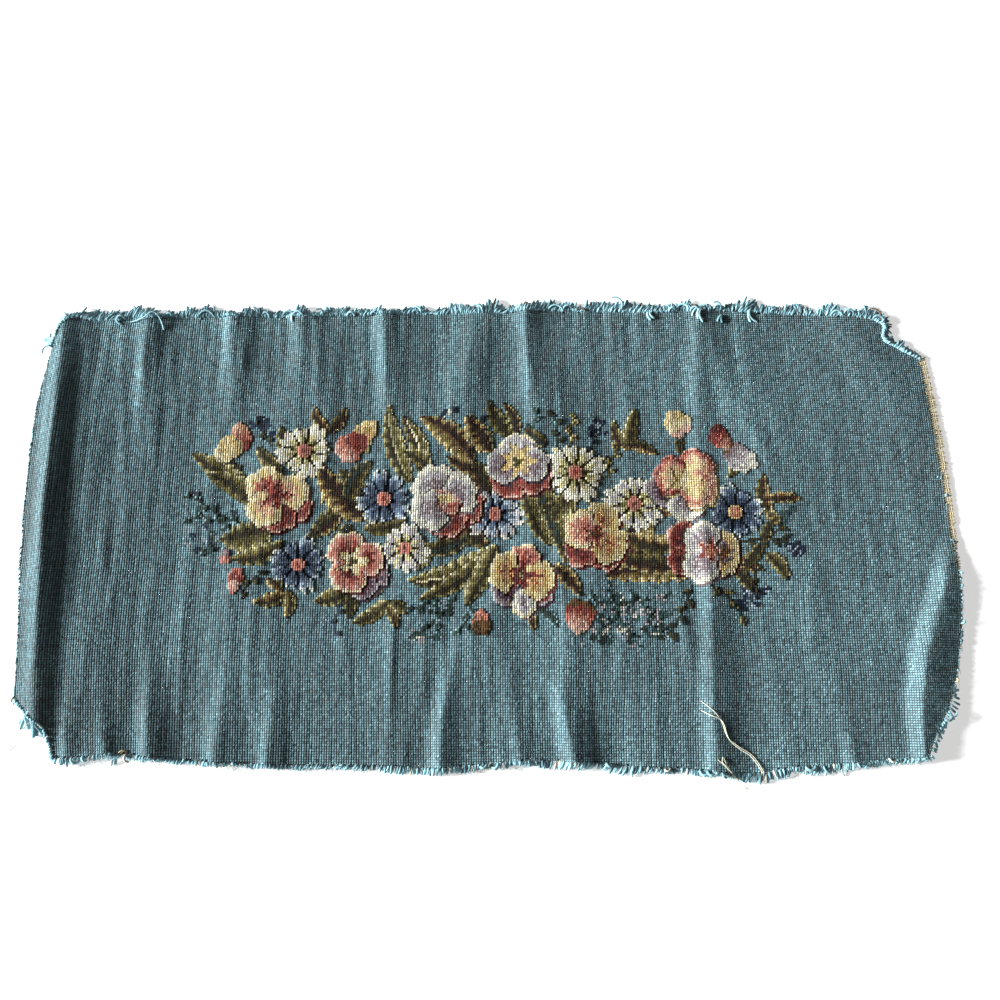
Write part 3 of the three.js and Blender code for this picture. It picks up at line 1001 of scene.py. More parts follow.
DAISIES = (
    Daisy(-79, 34, 12.0, 8, 12, 0.97, DAISY_WHITE),
    Daisy(38, 24, 13.2, 9, 20, 0.95, DAISY_WHITE),
    Daisy(63, 10.5, 12.6, 9, 5, 0.97, DAISY_PALE),
    Daisy(-34, -8.5, 10.6, 7, 30, 0.95, DAISY_PALE),
    Daisy(-44, 13, 12.0, 8, 10, 0.84, DAISY_BLUE, 0.18, backing_and_shade=NIGHT),
    Daisy(-79, -15.5, 11.6, 8, 25, 0.84, DAISY_BLUE, 0.16, backing_and_shade=NIGHT),
    Daisy(3.5, 6, 12.0, 8, -10, 0.9, DAISY_SKY, 0.18, backing_and_shade=NIGHT),
    Daisy(106, 7, 12.0, 8, 15, 0.86, DAISY_NIGHT, 0.14, yarns("AMBER CORAL GOLD"), NIGHT),
)

PANSIES = (
    Pansy(-90, 14, 15.5, (
        Petal(-28, 0.66, 0.42, 0.44, RED_PINK),
        Petal(-78, 0.6, 0.42, 0.5, RED_PINK),
        Petal(138, 0.42, 0.54, 0.56, CREAM_RED),
        Petal(232, 0.46, 0.5, 0.52, CREAM_GOLD),
        Petal(16, 0.5, 0.42, 0.5, CREAM_GOLD),
    ), (Heart(0.34, 5, yarns("MAROON RED RED CORAL")),)),
    Pansy(-56, -14, 14.0, (
        Petal(-30, 0.72, 0.5, 0.48, PLUM_MAUVE),
        Petal(-66, 0.78, 0.42, 0.46, PLUM_MAUVE),
        Petal(120, 0.44, 0.5, 0.6, ROSE),
        Petal(255, 0.46, 0.48, 0.6, ROSE),
        Petal(10, 0.52, 0.44, 0.52, ROSE),
    ), (Heart(0.4, 5, yarns("STRAW CREAM CREAM STRAW")), Heart(0.13, 3, yarns("OLIVE")))),
    Pansy(-18, 13, 16.0, (
        Petal(-22, 0.66, 0.42, 0.5, RED_PINK),
        Petal(-82, 0.66, 0.4, 0.5, RED_PINK),
        Petal(128, 0.5, 0.5, 0.6, WHITE_LILAC),
        Petal(20, 0.44, 0.44, 0.58, WHITE_LILAC),
        Petal(222, 0.48, 0.52, 0.56, WHITE_LILAC),
        Petal(-48, 0.24, 0.26, 0.26, yarns("RED CORAL PINK")),
    ), (Heart(0.26, 3, yarns("CORAL CORAL PINK")), Heart(0.2, 2, yarns("GOLD STRAW CREAM")))),
    Pansy(13, 29, 15.0, (
        Petal(248, 0.62, 0.5, 0.58, RED_PINK),
        Petal(-44, 0.66, 0.5, 0.52, RED_PINK),
        Petal(88, 0.44, 0.4, 0.5, yarns("MAUVE LILAC LILAC CREAM")),
        Petal(196, 0.42, 0.5, 0.54, MAUVE_RIM),
        Petal(-14, 0.46, 0.46, 0.52, MAUVE_RIM),
    ), (Heart(0.44, 7, yarns("STRAW STRAW GOLD STRAW")), Heart(0.14, 3, yarns("OLIVE")))),
    Pansy(15, -20, 14.6, (
        Petal(228, 0.66, 0.4, 0.44, PLUM_MAUVE),
        Petal(-44, 0.7, 0.42, 0.44, PLUM_MAUVE),
        Petal(-86, 0.82, 0.42, 0.36, yarns("MAUVE LILAC WHITE CREAM")),
        Petal(78, 0.52, 0.38, 0.46, CORAL_RIM),
        Petal(168, 0.5, 0.42, 0.6, YELLOW_ORANGE),
        Petal(-18, 0.52, 0.46, 0.56, YELLOW_ORANGE),
    ), (Heart(0.3, 5, yarns("SAGE MAROON MAROON RED")),)),
    Pansy(46, -3, 15.2, (
        Petal(-60, 0.62, 0.46, 0.5, RED_PINK),
        Petal(-132, 0.62, 0.44, 0.46, RED_PINK),
        Petal(66, 0.5, 0.46, 0.52, YELLOW_ORANGE),
        Petal(160, 0.44, 0.48, 0.56, CORAL_RIM[2:] + yarns("STRAW")),
        Petal(-36, 0.52, 0.46, 0.56, YELLOW_ORANGE),
    ), (Heart(0.26, 5, yarns("OLIVE RED CORAL")),)),
    Pansy(85, 21, 15.4, (
        Petal(206, 0.72, 0.4, 0.48, PLUM_MAUVE),
        Petal(-92, 0.74, 0.44, 0.5, WHITE_LILAC),
        Petal(48, 0.52, 0.46, 0.56, SUNSET),
        Petal(164, 0.42, 0.44, 0.6, SUNSET_PALE[:4] + yarns("RED CORAL")),
        Petal(-36, 0.5, 0.5, 0.58, SUNSET_PALE),
    ), (Heart(0.36, 5, yarns("CREAM STRAW STRAW")),)),
    Pansy(94, -10, 15.0, (
        Petal(152, 0.86, 0.42, 0.5, RED_PINK),
        Petal(198, 0.88, 0.36, 0.4, RED_PINK),
        Petal(-8, 0.46, 0.42, 0.66, FAWN),
        Petal(118, 0.44, 0.44, 0.56, WHITE_LILAC),
        Petal(238, 0.5, 0.48, 0.54, WHITE_LILAC),
    ), (Heart(0.3, 5, yarns("AMBER CORAL RED PINK")),)),
)


class Piece:
    """Helpers that turn plain arrays into finished mesh objects."""

    @staticmethod
    def link(name: str, data: bpy.types.ID) -> Object:
        """An object for a mesh, a light or a camera, in the scene."""
        item = bpy.data.objects.new(name, data)
        bpy.context.scene.collection.objects.link(item)
        return item

    @staticmethod
    def from_arrays(
        name: str, points: Array, faces: list | Array, edges: list[tuple[int, int]] | None = None
    ) -> Object:
        """A mesh object with smooth faces.

        Args:
            name: The piece's name.
            points: Its points in metres, one a row.
            faces: Its faces, each a row of point numbers.
            edges: Its edges that are on no face, each a pair of point numbers.

        Returns:
            The object, at the origin.
        """
        mesh = bpy.data.meshes.new(name)
        mesh.from_pydata(
            [tuple(p) for p in points.tolist()], edges or [], [tuple(f) for f in np.asarray(faces).tolist()]
        )
        mesh.update()
        Piece.smooth(mesh)
        return Piece.link(name, mesh)

    @staticmethod
    def smooth(mesh: Mesh) -> None:
        """Makes every face of a mesh smooth."""
        mesh.polygons.foreach_set("use_smooth", np.ones(len(mesh.polygons), bool))

    @staticmethod
    def set_colours(piece: Object, lights: Array) -> None:
        """Gives each point of a piece its yarn's shade.

        Args:
            piece: The piece.
            lights: The shades as linear light, one a row.
        """
        attribute = piece.data.color_attributes.new(YARN_ATTRIBUTE, "FLOAT_COLOR", "POINT")
        full = np.concatenate([np.clip(lights, 0, 1), np.ones((len(lights), 1))], axis=1)
        attribute.data.foreach_set("color", full.astype(np.float32).ravel())

    @staticmethod
    def set_values(piece: Object, name: str, kind: Kind, values: Array) -> None:
        """Gives each point of a piece a number or a direction."""
        attribute = piece.data.attributes.new(name, kind.name, "POINT")
        attribute.data.foreach_set(kind.value, values.astype(np.float32).ravel())

    @staticmethod
    def points(piece: Object) -> Array:
        """A piece's points, one a row."""
        places = np.zeros(len(piece.data.vertices) * 3, np.float32)
        piece.data.vertices.foreach_get("co", places)
        return places.reshape(-1, 3)

    @staticmethod
    def settle(piece: Object) -> Object:
        """Replaces a piece by the plain mesh that its modifiers make of it.

        Args:
            piece: The piece, which is removed.

        Returns:
            The plain piece, of the same name.
        """
        bpy.context.view_layer.update()
        graph = bpy.context.evaluated_depsgraph_get()
        name = piece.name
        plain = piece.evaluated_get(graph)
        mesh = bpy.data.meshes.new_from_object(plain, preserve_all_data_layers=True, depsgraph=graph)
        bpy.data.objects.remove(piece)
        mesh.name = name
        return Piece.link(name, mesh)

    @staticmethod
    def flat_map(piece: Object) -> None:
        """Gives a piece a map that looks straight down on it, for its baked finish.

        Args:
            piece: The piece.
        """
        flat = Piece.points(piece)[:, :2]
        low, high = flat.min(axis=0), flat.max(axis=0)
        corners = np.zeros(len(piece.data.loops), np.int32)
        piece.data.loops.foreach_get("vertex_index", corners)
        layer = piece.data.uv_layers.new(name="OFBake")
        spread = (flat - low) / (high - low)
        layer.data.foreach_set("uv", (0.005 + 0.99 * spread[corners]).astype(np.float32).ravel())


class Nodes:
    """A tree of nodes under construction."""

    def __init__(self, tree: bpy.types.NodeTree) -> None:
        """Keeps the tree."""
        self.tree = tree

    def node(self, kind: str, settings: dict[str, object], inputs: dict[str | int, object]) -> Node:
        """Adds a node.

        Args:
            kind: The node's type.
            settings: Its own settings, set before its sockets.
            inputs: A value or a socket for each of its inputs.

        Returns:
            The node.
        """
        node = self.tree.nodes.new(kind)
        for label, value in settings.items():
            setattr(node, label, value)
        for label, value in inputs.items():
            if isinstance(value, Number):
                value = value.socket
            if isinstance(value, NodeSocket):
                self.tree.links.new(value, node.inputs[label])
            else:
                node.inputs[label].default_value = value
        return node


class NodeTree(Nodes):
    """A Geometry Nodes tree under construction, with named inputs."""

    def __init__(self, name: str, inputs: dict[str, tuple[str, object]]) -> None:
        """Makes the tree with its sockets and its two end nodes.

        Args:
            name: The tree's name.
            inputs: Each named input's kind of socket and its value.
        """
        super().__init__(bpy.data.node_groups.new(name, "GeometryNodeTree"))
        self.values = inputs
        for end in ("INPUT", "OUTPUT"):
            self.tree.interface.new_socket("Geometry", in_out=end, socket_type="NodeSocketGeometry")
        for label, (kind, _) in inputs.items():
            self.tree.interface.new_socket(label, in_out="INPUT", socket_type=kind)
        self.given = self.tree.nodes.new("NodeGroupInput").outputs
        self.end = self.tree.nodes.new("NodeGroupOutput")

    def attribute(self, name: str, kind: Kind) -> NodeSocket:
        """What a named attribute gives at each point."""
        node = self.node("GeometryNodeInputNamedAttribute", {"data_type": kind.name}, {"Name": name})
        return node.outputs["Attribute"]

    def close(self, geometry: NodeSocket, material: Material) -> None:
        """Ends the tree in real geometry with its finish.

        Args:
            geometry: The geometry to end in.
            material: The finish.
        """
        real = self.node("GeometryNodeRealizeInstances", {}, {"Geometry": geometry}).outputs[0]
        dressed = self.node("GeometryNodeSetMaterial", {}, {"Geometry": real, "Material": material})
        self.tree.links.new(dressed.outputs[0], self.end.inputs["Geometry"])

    def put_on(self, piece: Object) -> None:
        """Gives a piece the tree as a modifier, with the tree's values.

        Args:
            piece: The piece.
        """
        modifier = piece.modifiers.new(self.tree.name, "NODES")
        modifier.node_group = self.tree
        for item in self.tree.interface.items_tree:
            if item.in_out == "INPUT" and item.name in self.values:
                modifier[item.identifier] = self.values[item.name][1]


def operator(operation: str, swapped: bool = False) -> Callable[["Number", object], "Number"]:
    """A method that works a number out with another value.

    Args:
        operation: The Math node's operation.
        swapped: Whether the other value comes first.

    Returns:
        The method.
    """

    def method(number: "Number", other: object) -> "Number":
        """The result as a number."""
        return number.worked(operation, *((other, number) if swapped else (number, other)))

    return method


class Number:
    """A number socket of a material, which Python's operators work on."""

    def __init__(self, finish: "Finish", socket: NodeSocket) -> None:
        """Keeps the socket and the finish it belongs to."""
        self.finish = finish
        self.socket = socket

    def worked(self, operation: str, first: object, second: object = 0.0) -> "Number":
        """A Math node on two values."""
        node = self.finish.node("ShaderNodeMath", {"operation": operation}, {0: first, 1: second})
        return Number(self.finish, node.outputs[0])

    __add__, __radd__ = operator("ADD"), operator("ADD", True)
    __sub__, __rsub__ = operator("SUBTRACT"), operator("SUBTRACT", True)
    __mul__, __rmul__ = operator("MULTIPLY"), operator("MULTIPLY", True)
    __truediv__, __rtruediv__ = operator("DIVIDE"), operator("DIVIDE", True)

    def sine(self) -> "Number":
        """The sine."""
        return self.worked("SINE", self)

    def size(self) -> "Number":
        """The value without its sign."""
        return self.worked("ABSOLUTE", self)

    def power(self, exponent: float) -> "Number":
        """The value to a power."""
        return self.worked("POWER", self, exponent)


class Finish(Nodes):
    """A material under construction, with a Principled shader at its end."""

    def __init__(self, name: str, **constants: object) -> None:
        """Makes the material and sets the shader's own constant sockets.

        Args:
            name: The material's name.
            constants: The shader's sockets by name, with underscores for spaces.
        """
        self.material = bpy.data.materials.new(name)
        self.material.use_nodes = True
        super().__init__(self.material.node_tree)
        self.tree.nodes.clear()
        self.shader = self.tree.nodes.new("ShaderNodeBsdfPrincipled")
        out = self.tree.nodes.new("ShaderNodeOutputMaterial")
        self.tree.links.new(self.shader.outputs["BSDF"], out.inputs["Surface"])
        for label, value in constants.items():
            self.shader.inputs[label.replace("_", " ")].default_value = value

    def object_point(self) -> NodeSocket:
        """The point of the surface in the object's own frame."""
        return self.node("ShaderNodeTexCoord", {}, {}).outputs["Object"]

    def axes(self, point: NodeSocket) -> tuple[Number, Number, Number]:
        """A point's three coordinates."""
        split = self.node("ShaderNodeSeparateXYZ", {}, {0: point})
        return tuple(Number(self, socket) for socket in split.outputs)

    def noise(self, point: NodeSocket, stretch: tuple[float, ...], detail: float) -> Number:
        """Noise of 0 to 1.

        Args:
            point: Where on the surface to take it.
            stretch: How fine it is along each axis.
            detail: How many finer layers it has.

        Returns:
            The noise.
        """
        mapped = self.node("ShaderNodeMapping", {}, {"Vector": point, "Scale": stretch}).outputs[0]
        cloud = self.node("ShaderNodeTexNoise", {}, {"Vector": mapped, "Scale": 1.0, "Detail": detail})
        return Number(self, cloud.outputs["Fac"])

    def dress(self, shade: Number, height: Number, relief: float, roughness: Number | None = None) -> None:
        """Feeds the shader, in the yarn's own colour.

        Args:
            shade: How much lighter or darker than the yarn's colour the surface is.
            height: The relief's height, of 0 to 1.
            relief: How deep the relief is, in metres.
            roughness: The roughness, or none for the constant one.
        """
        yarn = self.node("ShaderNodeAttribute", {"attribute_name": YARN_ATTRIBUTE}, {}).outputs["Color"]
        grey = self.node("ShaderNodeCombineXYZ", {}, {0: shade, 1: shade, 2: shade}).outputs[0]
        base = self.node("ShaderNodeVectorMath", {"operation": "MULTIPLY"}, {0: yarn, 1: grey}).outputs[0]
        self.tree.links.new(base, self.shader.inputs["Base Color"])
        bump = self.node("ShaderNodeBump", {}, {"Height": height, "Strength": 1.0, "Distance": relief})
        self.tree.links.new(bump.outputs[0], self.shader.inputs["Normal"])
        if roughness is not None:
            self.tree.links.new(roughness.socket, self.shader.inputs["Roughness"])


@dataclass(frozen=True)
class YarnFinish:
    """Matte wool or cotton: combed fibres, a soft sheen, and an uneven dye or a little dust."""

    name: str
    # The shader's constant sockets
    constants: dict[str, object]
    # Rows of a noise's fineness along each axis, its detail and its share in the shade: the fibres come first
    layers: tuple[tuple[Triple, float, float], ...]
    # How deep the fibres' relief is, in metres
    relief: float
    # Which layer the roughness follows, how far, and from what value
    rough: tuple[int, float, float]

    def make(self) -> Material:
        """Builds the material.

        Returns:
            The material.
        """
        finish = Finish(self.name, **self.constants)
        point = finish.object_point()
        noises = [finish.noise(point, stretch, detail) for stretch, detail, _ in self.layers]
        parts = [(noise - 0.5) * row[2] for noise, row in zip(noises, self.layers)]
        shade = sum(parts[1:], parts[0]) + 1.0
        layer, share, base = self.rough
        finish.dress(shade, noises[0], self.relief, noises[layer] * share + base)
        return finish.material


def wool(name: str, fibre: float, relief: float, dye: float, sheen: float) -> YarnFinish:
    """Tapestry wool.

    Args:
        name: The material's name.
        fibre: How fine its fibres are, in repeats per metre.
        relief: How deep they are, in metres.
        dye: How much the dye varies along them.
        sheen: The sheen's weight.

    Returns:
        The finish.
    """
    constants = {"Roughness": 0.92, "Specular_IOR_Level": 0.18, "Sheen_Weight": sheen}
    constants |= {"Sheen_Roughness": 0.55, "Sheen_Tint": (0.7, 0.92, 1.0, 1.0)}
    layers = (((fibre, fibre * 0.28, fibre), 2.0, dye), ((420, 420, 420), 2.0, 0.3), ((22, 9, 22), 3.0, 0.2))
    return YarnFinish(name, constants, layers, relief, (1, 0.2, 0.8))


THREAD = YarnFinish(
    "canvas_thread",
    {"Roughness": 0.85, "Specular_IOR_Level": 0.2, "Sheen_Weight": 0.1, "Sheen_Roughness": 0.5},
    (((1800, 1800, 1800), 3.0, 0.5), ((160, 160, 160), 3.0, 0.5)),
    0.00008,
    (0, 0.2, 0.75),
)


@dataclass(frozen=True)
class CanvasBackFinish:
    """Cotton canvas filled with wool: the slanting backs of the stitches, with painted shade between them."""

    name: str
    # The weave's pitch and the depth of the relief, in metres
    pitch: float
    relief: float = 0.0006

    def make(self) -> Material:
        """Builds the material.

        Returns:
            The material.
        """
        sheen = {"Sheen_Weight": 0.15, "Sheen_Roughness": 0.6}
        finish = Finish(self.name, Roughness=0.95, Specular_IOR_Level=0.12, **sheen)
        point = finish.object_point()
        x, y, _ = finish.axes(point)
        fibres = finish.noise(point, (2200, 900, 1200), 3.0)
        slant = (x / self.pitch + y / (self.pitch * 2.0) + fibres * 0.18) * math.pi
        row = (y / self.pitch + fibres * 0.12) * math.pi
        pads = slant.sine().size().power(0.7) * (row.sine().size().power(0.5) * 0.55 + 0.45)
        height = pads * 0.85 + fibres * 0.15
        # Painted shade: the colour is darker where the relief is low, between the backs.
        finish.dress(height * 0.75 + fibres * 0.35 + 0.1, height, self.relief)
        return finish.material


@dataclass(frozen=True)
class FloorFinish:
    """A plain pale tabletop that gives off a little light of its own, as a light table does."""

    name: str = "pale_floor"
    # Its grey, as linear light, and the light that it gives off
    tone: float = 0.9
    glow: float = 0.5

    def make(self) -> Material:
        """Builds the material.

        Returns:
            The material.
        """
        return Finish(
            self.name,
            Base_Color=(self.tone, self.tone, self.tone, 1.0),
            Roughness=0.9,
            Specular_IOR_Level=0.1,
            Emission_Color=(1.0, 1.0, 1.0, 1.0),
            Emission_Strength=self.glow,
        ).material


@dataclass
class BaseCloth:
    """The canvas under the stitches, filled with wool, which follows the creases and ends at the cut edge."""

    cloth: LyingCloth
    chart: Chart
    # The grid's cells along the cloth and up it
    across: int = 264
    up: int = 84
    # The heights of its underside and of its upper face over the lying shape
    under: float = 0.15
    over: float = 1.25
    # How much of the wool's colour shows on the back, in the painted shade between the stitches, and near the
    # cut edge
    dimming: float = 0.55
    shaded_gap_share: float = 0.1
    edge_share: float = 0.5
    # How far in from the cut edge it is at its lightest, and over what width that fades
    edge_width: float = 5
    edge_fade: float = 2
    # The canvas between the stitches, painted dark as the shade that falls in the holes between them
    gap: Shade = (25, 36, 39)

    def patch(self) -> Array:
        """The grid's places on the table, filled in between the four runs of edge.

        Returns:
            A place for each row and column of the grid.
        """
        u = np.linspace(0, 1, self.across + 1)
        v = np.linspace(0, 1, self.up + 1)
        runs = self.cloth.runs
        bottom, top = self._along(runs[Side.BOTTOM], u), self._along(runs[Side.TOP][::-1], u)
        left, right = self._along(runs[Side.LEFT][::-1], v), self._along(runs[Side.RIGHT], v)
        uu, vv = u[None, :, None], v[:, None, None]
        ruled = (1 - vv) * bottom[None] + vv * top[None] + (1 - uu) * left[:, None] + uu * right[:, None]
        low = (1 - uu) * bottom[0] + uu * bottom[-1]
        high = (1 - uu) * top[0] + uu * top[-1]
        return ruled - (1 - vv) * low - vv * high

    @staticmethod
    def _along(line: Array, shares: Array) -> Array:
        """A line's points at shares of its length."""
        return points_at(line, shares * lengths_along(line)[-1])

    def build(self, material: Material) -> Object:
        """Builds the closed sheet.

        Args:
            material: Its finish.

        Returns:
            The sheet.
        """
        flat = self.patch().reshape(-1, 2)
        lift = self.cloth.lift(*flat.T)
        upper = np.column_stack([flat, lift + self.over])
        lower = np.column_stack([flat, lift + self.under])
        count = len(flat)
        numbers = np.arange(count).reshape(self.up + 1, self.across + 1)
        corners = [numbers[:-1, :-1], numbers[:-1, 1:], numbers[1:, 1:], numbers[1:, :-1]]
        quads = np.stack(corners, axis=-1).reshape(-1, 4)
        ring = np.concatenate([numbers[0], numbers[1:, -1], numbers[-1, -2::-1], numbers[-2:0:-1, 0]])
        after = np.roll(ring, -1)
        walls = np.stack([ring + count, after + count, after, ring], axis=1)
        faces = np.vstack([quads, quads[:, ::-1] + count, walls])
        piece = Piece.from_arrays("canvas_sheet", self.cloth.place(np.vstack([upper, lower])), faces)
        shades = self._shades(flat)
        # Between the stitches the canvas is painted dark for shade; near the cut edge that painted shade
        # gives way to the wool's colour.
        near = np.clip((self.edge_width - self.cloth.edge_distance(*flat.T)) / self.edge_fade, 0, 1)[:, None]
        shown = shades * (self.shaded_gap_share + (self.edge_share - self.shaded_gap_share) * near)
        Piece.set_colours(piece, np.vstack([shown + colour(self.gap) * (1 - near), shades * self.dimming]))
        piece.data.materials.append(material)
        return piece

    def _shades(self, flat: Array) -> Array:
        """The design's shades at places on the table.

        Args:
            flat: The places, one a row.

        Returns:
            The nearest stitch's shade for each.
        """
        size = np.array([self.chart.columns - 1, self.chart.rows - 1])
        cell = np.round((flat + self.cloth.shift) / PITCH + size / 2).astype(int)
        i, j = np.clip(cell, 0, size).T
        return self.chart.shades[j, i]


@dataclass
class TentStitches:
    """The tent stitches that cover the canvas, one for each cell of the chart."""

    cloth: LyingCloth
    chart: Chart
    # A stitch's width and its length, each at the left edge of the cloth and at the right
    width: Pair = (1.24, 1.48)
    length: Pair = (1.5, 1.27)
    # How much wider and longer the raised stitches are, and from what relief
    fuller: Pair = (0.16, 0.1)
    raised: float = 0.3
    # How far a stitch's right side stands up from its left, as a share of its length
    slant: float = 0.3
    # How deep a stitch reaches into the canvas, and its top's height over the lying shape
    depth: float = 0.95
    top: float = 2.05
    # How rounded a stitch looks across and along, and how much it tilts over the design's relief
    plumpness: Pair = (0.5, 0.4)
    emboss: float = 1.0
    # How unlike its neighbours a stitch is
    turn: float = 7
    sizes: Pair = (0.92, 1.08)
    tilt: float = 0.09
    unevenness: float = 0.13
    # How much the shade, at left and at right, and the place change from one upright row to the next
    rib: Pair = (0.15, 0.06)
    rib_shift: float = 0.06
    # How near the cut edge stitches are lost, and what share of them
    frayed: float = 1.3
    lost: float = 0.15
    # How many pieces the stitches are made in, across the cloth
    blocks: int = 4
    random: Generator = field(default_factory=lambda: default_rng(23))

    def lattice(self) -> tuple[Array, Array]:
        """Where the stitches lie on the table, an even step apart along the cloth and not the table.

        Returns:
            Each stitch's place across the table and up it.
        """
        xs = np.arange(-self.cloth.half_width, self.cloth.half_width, 1.0)
        rows = (np.arange(self.chart.rows) - (self.chart.rows - 1) / 2) * PITCH - self.cloth.shift[1]
        x, y = np.meshgrid(xs, rows)
        slope = np.gradient(self.cloth.lift(x, y), 1.0, axis=1)
        along = np.cumsum(np.hypot(1, slope), axis=1)
        along -= along[:, len(xs) // 2][:, None]
        wanted = (np.arange(self.chart.columns) - (self.chart.columns - 1) / 2) * PITCH - self.cloth.shift[0]
        places = np.stack([np.interp(wanted, line, xs) for line in along])
        heights = np.repeat(rows[:, None], self.chart.columns, axis=1)
        wander = 0.35 * np.sin(heights / 41) + 0.25 * np.sin(heights / 17 + places / 90)
        return places + wander, heights + 0.4 * np.sin(places / 57) + 0.2 * np.sin(places / 23 + 1)

    def prototype(self) -> Object:
        """One stitch of unit width and length: a slanted pad over a keel that sits in the canvas.

        Returns:
            The stitch, which isn't in the scene.
        """
        half = self.slant / 2
        points = np.array([
            (-0.5, -0.5 - half, 0), (0.5, -0.5 + half, 0), (0.5, 0.5 + half, 0), (-0.5, 0.5 - half, 0),
            (0, -0.3, -self.depth), (0, 0.3, -self.depth),
        ])
        faces = [(0, 1, 2, 3), (2, 1, 4, 5), (0, 3, 5, 4), (1, 0, 4), (3, 2, 5)]
        mesh = bpy.data.meshes.new("stitch")
        mesh.from_pydata([tuple(p) for p in (points * MM).tolist()], [], faces)
        return bpy.data.objects.new("stitch", mesh)

    def tree(self, material: Material, stitch: Object) -> NodeTree:
        """The tree that sets a stitch on every point, square to the cloth and a little unlike its neighbours.

        Args:
            material: The stitches' finish.
            stitch: The stitch to set.

        Returns:
            The tree.
        """
        tree = NodeTree("tent_stitches", {
            "Stitch": ("NodeSocketObject", stitch),
            "Twist": ("NodeSocketFloat", math.radians(self.turn)),
            "Least size": ("NodeSocketFloat", self.sizes[0]),
            "Greatest size": ("NodeSocketFloat", self.sizes[1]),
            "Seed": ("NodeSocketInt", 7),
        })
        given = tree.given
        upright = tree.node("FunctionNodeAlignRotationToVector", {"axis": "Z"}, {
            "Vector": tree.attribute(FACING_ATTRIBUTE, Kind.FLOAT_VECTOR),
        })
        least = tree.node("ShaderNodeMath", {"operation": "MULTIPLY"}, {0: given["Twist"], 1: -1.0})
        turn = tree.node("FunctionNodeRandomValue", {"data_type": "FLOAT"}, {
            "Min": least.outputs[0], "Max": given["Twist"], "Seed": given["Seed"],
        })
        twist = tree.node("FunctionNodeAxisAngleToRotation", {}, {
            "Axis": (0, 0, 1), "Angle": turn.outputs[1],
        })
        turned_stitch = tree.node("FunctionNodeRotateRotation", {"rotation_space": "LOCAL"}, {
            "Rotation": upright.outputs[0], "Rotate By": twist.outputs[0],
        })
        size = tree.node("FunctionNodeRandomValue", {"data_type": "FLOAT"}, {
            "Min": given["Least size"], "Max": given["Greatest size"], "Seed": given["Seed"],
        })
        scale = tree.node("ShaderNodeVectorMath", {"operation": "SCALE"}, {
            "Vector": tree.attribute(EXTENT_ATTRIBUTE, Kind.FLOAT_VECTOR), "Scale": size.outputs[1],
        })
        shape = tree.node("GeometryNodeObjectInfo", {}, {"Object": given["Stitch"]})
        placed = tree.node("GeometryNodeInstanceOnPoints", {}, {
            "Points": given["Geometry"],
            "Instance": shape.outputs["Geometry"],
            "Rotation": turned_stitch.outputs[0],
            "Scale": scale.outputs[0],
        })
        tree.close(placed.outputs[0], material)
        return tree

    def build(self, material: Material) -> list[Object]:
        """Builds the stitches.

        Args:
            material: Their finish.

        Returns:
            The blocks of stitches, from left to right.
        """
        x, y = self.lattice()
        keep = self.cloth.inside(x, y)
        distance = self.cloth.edge_distance(x, y)
        keep &= ~((distance < self.frayed) & (self.random.random(x.shape) < self.lost))
        facing = self._facing(x, y)
        strand = blurred(self.random.normal(size=x.shape), 7, 0) * 4
        share = np.clip(x / 600 + 0.5, 0, 1)
        rib = self._graded(self.rib, share) * strand
        jitter = 1 + self.random.normal(0, self.unevenness, x.shape) + rib
        relief = self.chart.relief
        fuller = relief > self.raised
        width = self._graded(self.width, share) * (1 + self.fuller[0] * fuller)
        length = self._graded(self.length, share) * (1 + self.fuller[1] * fuller)
        given = (
            np.stack([x + self.rib_shift * strand, y, self.cloth.lift(x, y) + self.top + relief], axis=-1),
            facing,
            np.stack([width, length, 1 + relief / self.depth], axis=-1),
            self.chart.shades * np.clip(jitter, 0.5, 1.6)[..., None],
        )
        stitch = self.prototype()
        tree = self.tree(material, stitch)
        bounds = np.linspace(0, self.chart.columns, self.blocks + 1).astype(int)
        pieces = []
        for number, (first, last) in enumerate(zip(bounds, bounds[1:])):
            block = [array[:, first:last][keep[:, first:last]] for array in given]
            pieces.append(self._block(f"tent_stitches_{number + 1}", tree, block))
        bpy.data.objects.remove(stitch)
        return pieces

    @staticmethod
    def _graded(ends: Pair, share: Array) -> Array:
        """A value that goes from one end to the other with the share."""
        return (1 - share) * ends[0] + share * ends[1]

    def _facing(self, x: Array, y: Array) -> Array:
        """Where the stitches' upper sides look, by the creases and by the design's relief.

        Args:
            x, y: The stitches' places across the table and up it.

        Returns:
            A unit direction for each.
        """
        relief = blurred(blurred(self.chart.relief, 0.8, 0), 0.8, 1)
        slope_y, slope_x = np.gradient(relief, PITCH)
        facing = self.cloth.facing(x, y)
        facing[..., 0] -= slope_x * self.emboss + self.random.normal(0, self.tilt, x.shape)
        facing[..., 1] -= slope_y * self.emboss + self.random.normal(0, self.tilt, x.shape)
        return facing / np.linalg.norm(facing, axis=-1, keepdims=True)

    def _block(self, name: str, tree: NodeTree, given: list[Array]) -> Object:
        """One block of stitches as a plain mesh.

        Args:
            name: The block's name.
            tree: The tree that sets the stitches.
            given: The stitches' places, the ways that they look, their sizes and their shades.

        Returns:
            The block.
        """
        places, facing, extents, lights = given
        piece = Piece.from_arrays(name, self.cloth.place(places), np.zeros((0, 3), int))
        Piece.set_values(piece, FACING_ATTRIBUTE, Kind.FLOAT_VECTOR, facing)
        Piece.set_values(piece, EXTENT_ATTRIBUTE, Kind.FLOAT_VECTOR, extents)
        Piece.set_colours(piece, lights)
        tree.put_on(piece)
        piece = Piece.settle(piece)
        self._round(piece)
        Piece.flat_map(piece)
        return piece

